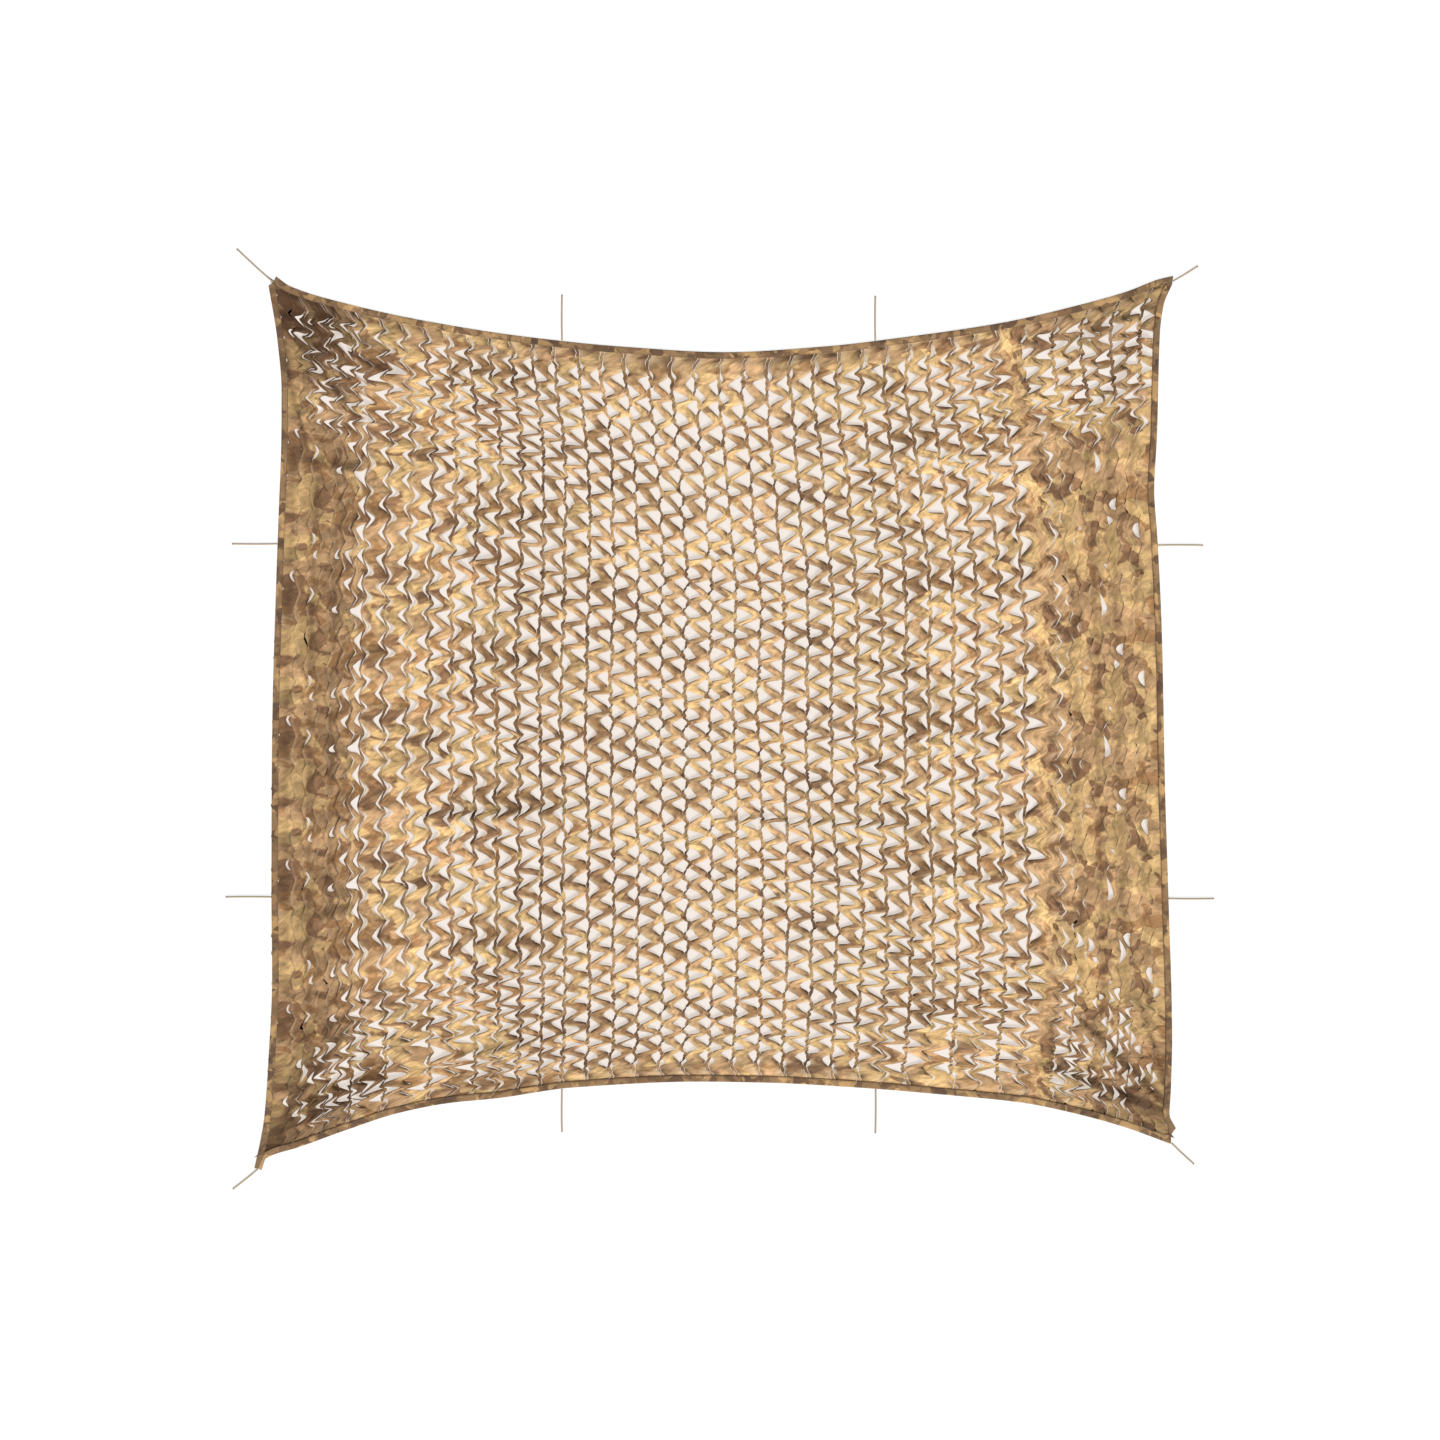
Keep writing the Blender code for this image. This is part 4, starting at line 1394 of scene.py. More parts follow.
    def flat_mesh(self, finish: Material) -> Mesh:
        """The whole cloth, cut but not yet pulled open.

        Args:
            finish: The cloth's material.

        Returns:
            The mesh.
        """
        cell = self.cell("cut_cell", self.ribbon_width, self.ribbon_places, True)
        uncut_places = tuple(np.linspace(-1, 1, self.uncut_lines))
        uncut = self.cell("uncut_cell", self.uncut_width, uncut_places, False)
        tree = self.tiling_tree(finish)
        values = {
            "Cell": cell,
            "Uncut Cell": uncut,
            "Columns": self.lattice.columns,
            "Rows": self.lattice.rows,
            "Column Width": self.flat_column,
            "Row Height": self.row_height,
            "Uncut Column": self.lattice.uncut_column,
            "Uncut Extra": self.uncut_width - self.ribbon_width,
            "Join Distance": self.join_distance,
        }
        mesh = grow("cut_cloth", tree, bpy.data.meshes.new("cut_cloth_seed"), values)
        for obj in (cell, uncut):
            bpy.data.objects.remove(obj, do_unlink=True)
        return mesh

    def by_openness(self, opened: Array, values: Sequence[float]) -> Array:
        """A size that changes with how open the net is."""
        return np.interp(opened, self.open_steps, values)

    def opened(self, column: Array, row: Array) -> Array:
        """How open the net is, from 0 to 1: most in the middle, least at its two sides."""
        pull, part, most, _ = self.pulled(column, row)
        return (1 - pull) * np.interp(column, self.open_columns, self.openness) + pull * part * most

    def pulled(self, column: Array, row: Array) -> tuple[Array, ...]:
        """How the corners' pull works on the cuts.

        Args:
            column: The spines.
            row: The heights in rows.

        Returns:
            How strong the pull is, whether the spine takes part, how open it leaves the cuts there, and below
            what chance one stays shut.
        """
        strength, most, shut = (np.zeros(len(row)) for _ in range(3))
        for at_column, at_row, wide, tall, opened, chance in self.corner_pulls:
            near = 1 - np.hypot((column - at_column) / wide, (row - at_row) / tall)
            near = ease(self.pull_rise * near)
            most = np.where(near > strength, opened, most)
            shut = np.where(near > strength, chance, shut)
            strength = np.maximum(strength, near)
        return strength, np.where(column % 2 == 0, 1.0, 0.0), most, shut

    def repeat(self, column: Array) -> Array:
        """After how many rows the cloth's unevenness comes again, in each column."""
        return np.select([column < end for end in self.repeat_ends], self.repeats[:-1], self.repeats[-1])

    def uneven(self, seed: int, column: Array, row: Array, per_row: int = 1) -> Array:
        """Seeded unevenness, of its own for each column, which repeats up the cloth.

        Args:
            seed: Its seed, which no other unevenness of the cloth has.
            column: The columns or spines.
            row: The heights in rows.
            per_row: How many times it changes in a row.

        Returns:
            One value for each place, from -1 to 1.
        """
        size = self.lattice.columns + 2, self.uneven_steps
        values = np.random.default_rng(seed).uniform(-1, 1, size)
        place = row * per_row
        low = np.floor(place).astype(int)
        cycle = self.repeat(column) * per_row
        near, far = values[column, low % cycle], values[column, (low + 1) % cycle]
        return near + ease(place - low) * (far - near)

    def pull_open(self, mesh: Mesh) -> dict[str, Array]:
        """Works out where each point of the flat cloth lies once the net is spread.

        Args:
            mesh: The flat cloth.

        Returns:
            The points' places, flat places and values, by name.
        """
        flat = points_of(mesh)
        row = flat[:, 1] / self.row_height
        swing = self.swing(row)
        level = flat[:, 0] - self.cut_swing * swing
        uncut, extra = self.lattice.uncut_column, self.uncut_width - self.ribbon_width
        half_spine = self.spine_width / 2
        past = level > uncut * self.flat_column + half_spine + self.uncut_width - self.hair
        packed = level - np.where(past, extra, 0.0)
        in_uncut = (~past) & (level > uncut * self.flat_column + half_spine + self.hair)
        column = np.floor((packed + half_spine + self.hair) / self.flat_column).astype(int)
        column = np.where(in_uncut, uncut, column)
        inside = packed - column * self.flat_column
        width = np.where(in_uncut, self.uncut_width, self.ribbon_width)
        tolerance = self.join_distance
        on_spine, on_ribbon = inside < half_spine - tolerance, inside > half_spine + tolerance
        spine_part = np.select([on_spine, on_ribbon], [1.0, 0.0], 0.5)
        left_join = (inside < -half_spine + tolerance) & (column > 0)
        spine_at = np.clip(inside / half_spine, -1, 1)
        ribbon_at = np.clip((inside - half_spine) / width * 2 - 1, -1, 1)
        spine = self.lay_spine(column, row, swing, spine_at)
        ribbon = self.lay_ribbon(column, row, swing, ribbon_at)
        before = self.lay_ribbon(np.maximum(column - 1, 0), row, swing, np.ones(len(row)))
        share = spine_part[:, None]
        found = {name: share * spine[name] + (1 - share) * ribbon[name] for name in spine}
        for name in found:
            found[name][left_join] = 0.5 * spine[name][left_join] + 0.5 * before[name][left_join]
        found["flat"] = flat[:, :2]
        found["print"] = np.column_stack((flat[:, 0], found["points"][:, 1] + self.print_start))
        found["fold"] = np.column_stack((level, flat[:, 1]))
        found["column"] = column[:, None].astype(float)
        return found

    def pitch(self, column: Array, row: Array) -> Array:
        """How far apart a column's two spines are pulled."""
        near, far = (self.lattice.place(at, row) for at in (column, column + 1))
        return np.linalg.norm(far - near, axis=1)

    def gap(self, left: bool, column: Array, row: Array, swing: Array) -> Array:
        """How wide the cut beside a ribbon has opened.

        Args:
            left: Whether it is the cut on the ribbon's left or on its right.
            column: The ribbon's column.
            row: The height in rows.
            swing: The zigzag there.

        Returns:
            The widths, which are below 0 where the cloth overlaps.
        """
        spine, middle = (column, row + 0.5) if left else (column + 1, row)
        opened = self.opened(spine, row)
        widest, evenness = self.left_gap, self.left_gap_evenness
        if not left:
            widest, evenness = self.right_gap, self.right_gap_evenness
        seeds = (45, 41, 47, 49) if left else (46, 42, 48, 50)
        later, wider, dragged, shutting = (self.uneven(seed, column, middle) for seed in seeds)
        start = self.by_openness(opened, self.gap_closed) + self.closed_unevenness * later
        width = self.by_openness(opened, widest) + self.by_openness(opened, self.gap_unevenness) * wider
        rare = self.odd_hole(left, spine, row)
        pull, part, _, shut = self.pulled(spine, row)
        width = width * (1 + self.pulled_wider * pull * part)
        width = width + self.pulled_unevenness * pull * part * dragged
        width = width * (1 - pull * ease((shut - shutting) / self.shut_fade))
        width = width + rare * self.odd_hole_width * np.clip(self.odd_hole_limit - opened, 0, 1)
        start = start + self.odd_hole_delay * rare * np.clip(1 - self.closed_rise * opened, 0, 1)
        along = np.clip((self.from_join(left, swing) - start) / (1 - start), 0, 1)
        least, more, rows = 0.7, 0.3, 3
        near_end = self.past_end(row) * (least + more * ease(self.to_end(row) / rows))
        width = np.where(width > 0, width * near_end, width)
        web_gone = self.by_openness(opened, self.web) * (1 - self.web_share(left, opened, swing))
        drawn_back = web_gone * near_end + self.given_way(left, spine, row, swing)
        return width * (1 - (1 - along) ** self.by_openness(opened, evenness)) + drawn_back

    def to_end(self, row: Array) -> Array:
        """How many rows away the cloth's nearer end is."""
        return np.minimum(row, self.lattice.rows - row)

    def past_end(self, row: Array) -> Array:
        """How far the cuts have come in on the way from the cloth's end, from 0 to 1."""
        start, length = 0.48, 0.35
        return ease((self.to_end(row) - start) / length)

    @staticmethod
    def from_join(left: bool, swing: Array) -> Array:
        """How far along the cut on a ribbon's left or right places lie, from 0 at its join to 1."""
        return (1 + swing) / 2 if left else (1 - swing) / 2

    def web_share(self, left: bool, opened: Array, swing: Array) -> Array:
        """How much of the web by a ribbon's cut is there: 1 at the join, 0 by the hole's middle."""
        start = self.by_openness(opened, self.gap_closed)
        return 1 - np.clip((self.from_join(left, swing) - start) / (self.web_end - start), 0, 1)

    def odd_hole(self, left: bool, spine: Array, row: Array) -> Array:
        """How far an odd hole beside a spine has opened where the cloth is nearly closed.

        Args:
            left: Whether it is on a ribbon's left, which is on its spine's right.
            spine: The spines.
            row: The heights in rows.

        Returns:
            The shares, from 0 to 1.
        """
        ribbon, middle = (spine, row + 0.5) if left else (spine - 1, row)
        chance = self.uneven(43 if left else 44, ribbon, middle)
        many = self.odd_holes(spine, row)
        smaller = self.odd_hole_smaller * many * (1 + self.uneven(53, spine, middle)) / 2
        return ease((chance - self.odd_hole_chance + many) / self.odd_hole_fade) * (1 - smaller)

    def odd_holes(self, spine: Array, row: Array) -> Array:
        """How much more often an odd hole has opened, which is so near two of the corners.

        Args:
            spine: The spines.
            row: The heights in rows.

        Returns:
            How much more often, from 0 to 1.
        """
        many = np.zeros(len(row))
        for column, height, columns, rows, most in self.odd_hole_places:
            near = 1 - np.hypot((spine - column) / columns, (row - height) / rows)
            many = np.maximum(many, most * ease(self.odd_hole_rise * near))
        return many

    def given_way(self, left: bool, spine: Array, row: Array, swing: Array) -> Array:
        """How far a spine stands back from an odd hole in the nearly closed cloth.

        Args:
            left: Whether the hole is on a ribbon's left, which is on its spine's right.
            spine: The spines.
            row: The heights in rows.
            swing: The zigzag there.

        Returns:
            One length for each place.
        """
        closed = np.clip(1 - self.closed_rise * self.opened(spine, row), 0, 1)
        first, columns = 20, 10
        near_corner = ease(self.closed_rise * self.odd_holes(spine, row))
        rare = self.odd_hole(left, spine, row) * closed
        rare = rare * np.maximum(ease((spine - first) / columns), near_corner)
        along = np.clip((self.from_join(left, swing) - self.draw_start) / (1 - self.draw_start), 0, 1)
        return self.odd_hole_draw * rare * along * self.past_end(row)

    def spine_edges(self, column: Array, row: Array, swing: Array) -> tuple[Array, Array]:
        """Where a spine's two edges lie.

        Args:
            column: The spines.
            row: The heights in rows.
            swing: The zigzag there.

        Returns:
            How far to the right of its column's line its left and its right edge lie.
        """
        opened = self.opened(column, row)
        pull = self.pulled(column, row)[0]
        uneven_swing = self.by_openness(opened, self.swing_unevenness) * self.uneven(52, column, row)
        shift = (self.by_openness(opened, self.spine_swing) + uneven_swing + self.pulled_swing * pull) * swing
        shift += self.by_openness(opened, self.spine_sway) * self.uneven(11, column, row)
        shift += self.given_way(False, column, row, swing) - self.given_way(True, column, row, swing)
        jag = self.by_openness(opened, self.spine_jag)
        shift += jag * self.uneven(12, column, row, 8)
        half = self.by_openness(opened, self.spine_half)
        uneven_half, own_jag = 0.25, 0.5
        left = shift - half * (1 + uneven_half * self.uneven(13, column, row, 5))
        left = left - own_jag * jag * self.uneven(17, column, row, 12)
        right = shift + half * (1 + uneven_half * self.uneven(16, column, row, 5))
        right = right + own_jag * jag * self.uneven(18, column, row, 12)
        web = self.by_openness(opened, self.web)
        right += web * self.web_share(True, opened, swing)
        left -= web * self.web_share(False, opened, swing)
        past = column > self.lattice.columns - 0.5
        return np.where(past, 0.0, left), np.where(past, 0.0, right)

    def lay_spine(self, column: Array, row: Array, swing: Array, at: Array) -> dict[str, Array]:
        """Places points of the spines.

        Args:
            column: Each point's spine.
            row: Its height in rows.
            swing: The zigzag there.
            at: Its place across the spine, from -1 to 1.

        Returns:
            The points' places and values, by name.
        """
        pitch = self.pitch(np.minimum(column, self.lattice.columns - 1), row)
        opened = self.opened(column, row)
        left, right = self.spine_edges(column, row, swing)
        lift = self.by_openness(opened, self.spine_lift)
        height = np.abs(lift) * 0.5 + lift * 0.5 * at
        # Painted shade on the spines: patchy, darker at the joins, with the painted shade of the sides and
        # corners added.
        level, slow, quick, least, most = 0.48, 1.05, 0.45, 0.04, 1.15
        patchy = level + slow * self.uneven(15, column, row) + quick * self.uneven(51, column, row, 4)
        patchy = np.clip(patchy, least, most) * (1 - self.patches_pulled * self.pulled(column, row)[0])
        shade = np.interp(column, self.spine_shade_columns, self.spine_shade)
        all_along, at_joins, sharpness = 0.62, 0.25, 6
        shade = shade * (all_along + at_joins * np.abs(swing) ** sharpness) * patchy
        shade = shade + self.gloom(column, row)
        aside = (left + right) / 2 + at * (right - left) / 2
        slip = self.by_openness(opened, self.slip) * (1 + swing) / 2 * (1 - at) / 2
        found = self.lay(column, row, aside, pitch, height, np.abs(at), 0 * at, shade, slip)
        found["pale"] = 0 * at[:, None]
        return found

    def lay_ribbon(self, column: Array, row: Array, swing: Array, at: Array) -> dict[str, Array]:
        """Places points of the ribbons.

        Args:
            column: The spine on the left of each point's ribbon.
            row: Its height in rows.
            swing: The zigzag there.
            at: Its place across the ribbon, from -1 to 1.

        Returns:
            The points' places and values, by name.
        """
        pitch = self.pitch(column, row)
        opened = self.opened(column, row)
        is_uncut = column == self.lattice.uncut_column
        widest = self.most_open * pitch
        left = self.spine_edges(column, row, swing)[1]
        left = left + np.minimum(self.gap(True, column, row, swing), widest)
        shut = is_uncut | (column == self.lattice.columns - 1)
        right = pitch + self.spine_edges(column + 1, row, swing)[0]
        right -= np.where(shut, 0.0, np.minimum(self.gap(False, column, row, swing), widest))
        lift = self.by_openness(opened, self.ribbon_lift)
        relief = self.by_openness(opened, self.relief)
        upper = -at * np.sin(2 * math.pi * row)
        face = np.interp(upper, self.face_places, self.face_heights)
        shingle = 0.5 - 0.5 * at
        height = lift * (relief * face + (1 - relief) * (shingle + 0.5 * (1 - at * at)))
        height += lift * 0.5 * self.uneven(26, column, row, 2) * (1 - at * at)
        start, length = 0.5, 0.3
        slope, back = 0.62, 0.25
        edges = [
            ease(slope * (1 + way * swing) - back) * ease(often + unevenly * self.uneven(seed, column, row))
            for way, seed, (often, unevenly) in zip((1, -1), (24, 27), self.lip_chances)
        ]
        turned = np.clip((np.abs(at) - start) / length, 0, 1) * np.where(at < 0, *edges)
        turned = turned * np.interp(opened, *self.lip_openness)
        turned *= np.interp(column, *self.lip_columns)
        turned = np.where(is_uncut, 0.0, turned)
        height += self.lip_height * turned
        # Painted shade: a dark band along each slanting ribbon's upper edge, darker where it joins a spine,
        # and under the curled edges of the closed cloth; the painted shade of the sides and corners is added.
        dark, start, length, level, unevenness = 0.9, 0.2, 0.55, 0.85, 0.35
        edge_shade = dark * relief * ease((upper - start) / length)
        edge_shade = edge_shade * (level + unevenness * self.uneven(28, column, row, 3))
        joined = np.maximum(at * swing, 0) ** 2 * swing**4
        level, unevenness = 0.25, 1.3
        curled = (1 - relief) * ease(level + unevenness * self.uneven(30, column, row, 3))
        dark, start, length = 0.5, 0.35, 0.6
        under = dark * curled * ease((at - start) / length)
        shade = (1 - turned) * np.maximum(edge_shade, self.join_shade * relief * joined) + under
        shade = shade + self.gloom(column, row)
        aside = (left + right) / 2 + at * (right - left) / 2
        slip = self.by_openness(opened, self.slip) * (1 + swing) / 2
        # Painted highlight: each slanting ribbon's lower edge, the cloth where it is open, and the curled
        # edges of the closed cloth are laid paler.
        start, length, level, unevenness = 0.15, 0.6, 0.75, 0.5
        pale = relief * ease((-upper - start) / length)
        pale = pale * (level + unevenness * self.uneven(29, column, row, 2))
        light, start, length = 0.13, 0.6, 0.4
        pale = pale + light * ease((opened - start) / length)
        light, start, length = 0.8, 0.62, 0.3
        pale = (pale + light * curled * ease((-at - start) / length)) * (1 - turned)
        found = self.lay(column, row, aside, pitch, height, np.abs(at), turned, shade, slip)
        found["pale"] = np.clip(pale, 0, 1)[:, None]
        return found

    def gloom(self, column: Array, row: Array) -> Array:
        """How much painted shade darkens the cloth near the sides and in the corners.

        Args:
            column: The columns or spines.
            row: The heights in rows.

        Returns:
            One value for each place.
        """
        dark, start, length = 0.31, 8.0, 3.5
        found = dark * ease((start - column) / length)
        dark, start, length = 0.07, 36.0, 3.0
        found = found + dark * ease((column - start) / length)
        for side, end, dark, columns, rows in self.corner_gloom:
            across = (column - side * self.lattice.columns) / columns
            near = ease(1 - np.hypot(across, (row - end * self.lattice.rows) / rows))
            found = found + (dark - 0.5 * found) * near
        strength, per_column, per_row = 0.35, 0.9, 0.8
        return found * (1 + strength * self.broad.at(column * per_column, row * per_row))

    def drift(self, across: Array, row: Array) -> Array:
        """How far up the cuts have slipped out of their rows.

        Args:
            across: The places sideways, in columns.
            row: The heights in rows.

        Returns:
            One height for each place, in rows.
        """
        column = np.clip(np.floor(across).astype(int), 0, self.lattice.columns)
        part = across - column
        slow, quick = 0.13, 0.05
        near, far = (
            slow * self.uneven(31, spine, row)
            + quick * self.uneven(32, spine, row, 2)
            + self.pulled_drift * self.pulled(spine, row)[0] * self.uneven(33, spine, row)
            for spine in (column, np.minimum(column + 1, self.lattice.columns))
        )
        return near + part * (far - near)

    def lay(
        self,
        column: Array,
        row: Array,
        aside: Array,
        pitch: Array,
        height: Array,
        edge: Array,
        turned: Array,
        shade: Array,
        slip: Array,
    ) -> dict[str, Array]:
        """Puts points down on the spread cloth, its rim tucked into the bindings.

        Args:
            column: The spine that each point is measured from.
            row: Its height in rows.
            aside: How far to the right of the spine it lies.
            pitch: How far apart the spines are there.
            height: Its height over the cloth's folds.
            edge: How near it is to a cut, from 0 to 1.
            turned: How far it shows the cloth's back.
            shade: How much painted shade darkens it.
            slip: How far down it has slipped, in rows.

        Returns:
            The places and values, by name.
        """
        lattice = self.lattice
        across = column + aside / pitch
        side_tuck = self.tuck / pitch
        reach, end_reach, end_tuck, drift_fade = 0.45, 0.6, 0.22, 1.2
        first, last = ease(1 - across / reach), ease(1 - (lattice.columns - across) / reach)
        across = across - side_tuck * first + side_tuck * last
        to_end = self.to_end(row)
        up = row + (self.drift(across, row) - slip) * ease(to_end / drift_fade)
        end_tuck = end_tuck * ease(1 - to_end / end_reach)
        up = up + np.where(row < lattice.rows / 2, -end_tuck, end_tuck)
        place = lattice.place(across, up)
        side_mouth, end_mouth = 0.006, 10
        from_side = np.minimum(across, lattice.columns - across) * pitch / side_mouth
        free = ease(np.minimum(from_side, np.minimum(up, lattice.rows - up) * end_mouth))
        opened = self.opened(column, row)
        swung = np.interp(opened, (0, 1), self.crease_swing) * self.swing(row)
        level, rise = (across - swung) * self.flat_column, row * self.row_height
        (long, tall), (short, low), share = (0.03, 0.06), (0.012, 0.034), 0.6
        wrinkle = self.broad.at(level / long, rise / tall) + share * self.narrow.at(level / short, rise / low)
        height = height + self.by_openness(opened, self.wrinkle) * wrinkle
        z = np.maximum(self.base_height + height + self.folds.height(across, up, place), self.least_height)
        z = self.pocket_height + free * (z - self.pocket_height)
        points = np.column_stack((place, z))
        # Painted shade in the valleys beside the folds is added.
        shade = np.clip(shade + self.folds.shade(across, up, place), 0, 1)
        creased = np.interp(opened, *self.creased)
        values = {"edge": edge, "turned": turned, "shade": shade, "creased": creased}
        return {"points": points, **{name: value[:, None] for name, value in values.items()}}

    def build(self, finish: Material) -> list[Object]:
        """Makes the cloth's pieces.

        Args:
            finish: The cloth's material.

        Returns:
            The pieces.
        """
        flat = self.flat_mesh(finish)
        LOG.info("flat cloth: %d points, %d faces", len(flat.vertices), len(flat.polygons))
        found = self.pull_open(flat)
        flat.vertices.foreach_set("co", found["points"].astype(np.float32).ravel())
        corner = np.empty(len(flat.loops), np.int32)
        flat.loops.foreach_get("vertex_index", corner)
        faces = corner.reshape(-1, 4)
        columns = found["column"][:, 0][faces].min(axis=1)
        pieces = []
        ends = (*self.piece_starts[1:], self.lattice.columns + 1)
        for number, (first, end) in enumerate(zip(self.piece_starts, ends), start=1):
            chosen = faces[(columns >= first) & (columns < end)]
            used, local = np.unique(chosen, return_inverse=True)
            corners = local.reshape(-1, 4).tolist()
            obj = mesh_object(f"net_panel_part_{number}", found["points"][used], corners)
            mesh = obj.data
            wide, tall = self.flat_size
            set_map(mesh, "flat_cloth", found["flat"][used])
            set_map(mesh, "print_place", found["print"][used])
            set_map(mesh, "fold_place", found["fold"][used])
            baked = (found["flat"][used] + self.bake_margin) / max(wide, tall) * self.bake_share
            set_map(mesh, "OFBake", baked)
            values = ("cut_edge", "turned_back", "in_shade", "worn_pale", "creased")
            for name, key in zip(values, ("edge", "turned", "shade", "pale", "creased")):
                set_value(mesh, name, found[key][used, 0])
            mesh.materials.append(finish)
            area = self.flat_size[1] * (min(end, self.lattice.columns) - first) * self.flat_column
            if first <= self.lattice.uncut_column < end:
                area += self.flat_size[1] * (self.uncut_width - self.ribbon_width)
            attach(obj, BODY)
            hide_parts("net_panel")
            LOG.info("%s: %d faces", obj.name, len(mesh.polygons))
            pieces.append(obj)
        bpy.data.meshes.remove(flat)
        return pieces


# The bindings.


@dataclass
class Bindings:
    """Strips folded over the cloth's edge and stitched down, one on each side."""

    width: float = 0.022
    layer: float = 0.001
    thickness: float = 0.0046
    # The fold's points, how deep it is outside and inside, and how high the strip's face is crowned.
    fold_points: int = 7
    fold_depth: float = 0.0015
    fold_inside: float = 0.004
    crown: float = 0.0004
    under_shares: Values = (1.0, 0.7, 0.35)
    over_shares: Values = (0.25, 0.5, 0.75, 0.94)
    # How high the strip's mouth is ruffled, and how long each ruffle is.
    ruffle: float = 0.0009
    ruffle_length: float = 0.035
    mitre_gap: float = 0.0003
    section_step: float = 0.012
    stitch_pitch: float = 0.0065
    stitch_length: float = 0.0042
    stitch_inset: float = 0.0175
    stitch_height: float = 0.0002
    # How much painted shade darkens each edge's strip, and how much more towards its corners.
    dimmed: Sequence[float] = (0.1, 0.12, 0.34, 0.16)
    corners_dimmed: float = 0.25
    corner_reach: float = 0.45
    thread: float = 0.0005

    def profile(self) -> list[Pair]:
        """The folded strip's section: depths from the fold and heights, in order round it."""
        top, depth, layer = self.thickness, self.width, self.layer
        turns = np.linspace(0, math.pi, self.fold_points)
        outside = [(self.fold_depth * (1 - math.sin(a)), top / 2 - top / 2 * math.cos(a)) for a in turns]
        under = [(depth * share, 0.0) for share in self.under_shares]
        over = [(depth * share, top + self.crown * math.sin(math.pi * share)) for share in self.over_shares]
        lip = [(depth, top - self.crown), (depth, top - layer)]
        inside = [(self.fold_inside, top - layer), (self.fold_inside, layer), (depth, layer)]
        return under + outside + over + lip + inside

    def sections(self, edge: Edge) -> tuple[Array, Array, Array]:
        """The strip's sections from one cut end to the other.

        Args:
            edge: The edge that it covers.

        Returns:
            Each section's outer point and inner point, and how far along it is.
        """
        low, high = (CORNERS[name] for name in EDGE_CORNERS[edge.name])
        first, last = low.share_on(edge, self.width), high.share_on(edge, self.width)
        count = int(edge.length() / self.section_step)
        run = np.linspace(first, last, count)
        shares = np.concatenate(((0.0, first / 2), run, ((1.0 + last) / 2, 1.0)))
        outer, inner = edge.outer(shares), edge.inner(shares, self.width)
        for corner, spots in ((low, (0, 1, 2)), (high, (-1, -2, -3))):
            split, meeting = corner.split(self.width), corner.meeting(self.width)[0]
            for spot, part in zip(spots, (0.0, 0.5, 1.0)):
                mitre = split + part * (meeting - split)
                back = outer[spot] - mitre
                inner[spot] = mitre + self.mitre_gap * back / np.linalg.norm(back)
        steps = np.linalg.norm(np.diff(outer, axis=0), axis=1)
        return outer, inner, np.concatenate(([0.0], np.cumsum(steps)))

    def strip(self, edge: Edge, seed: int, finish: Material) -> Object:
        """Makes one binding.

        Args:
            edge: The edge that it covers.
            seed: The seed of its unevenness.
            finish: Its material.

        Returns:
            The strip.
        """
        outer, inner, along = self.sections(edge)
        profile = self.profile()
        noise = Noise(seed, 512, 8)
        points, places, shades = [], [], []
        round_it = np.concatenate(([0.0], np.cumsum([math.dist(a, b) for a, b in zip(profile, profile[1:])])))
        for k, (fold, mouth) in enumerate(zip(outer, inner)):
            to_end = min(along[k], along[-1] - along[k])
            dimmed = self.dimmed[seed - 1] + self.corners_dimmed * max(0.0, 1 - to_end / self.corner_reach)
            place = np.array([along[k] / self.ruffle_length])
            ruffle = self.ruffle * float(noise.at(place, np.array([0.5]))[0])
            for (depth, z), way in zip(profile, round_it):
                share = depth / self.width
                lifted = ruffle * share * (z / self.thickness)
                x, y = fold + share * (mouth - fold)
                points.append((x, y, max(z + lifted, 0.0)))
                places.append((along[k] + 3.7 * seed, way))
                # Painted shade: the strip's top darkens fully towards its mouth, a painted dark line beside
                # the cloth.
                shades.append(max(dimmed, (share - 0.8) / 0.2) if z > self.thickness / 2 else dimmed)
        faces = tube(len(outer), len(profile), 1)
        obj = mesh_object(f"binding_strip_{edge.name}", np.array(points), faces)
        set_map(obj.data, "flat_strip", np.array(places))
        set_value(obj.data, "in_shade", np.array(shades))
        self.face_outwards(obj.data)
        obj.data.materials.append(finish)
        return obj

    @staticmethod
    def face_outwards(mesh: Mesh) -> None:
        """Turns a closed mesh's faces outwards.

        Args:
            mesh: The mesh.
        """
        work = bmesh.new()
        work.from_mesh(mesh)
        bmesh.ops.recalc_face_normals(work, faces=work.faces)
        work.to_mesh(mesh)
        work.free()

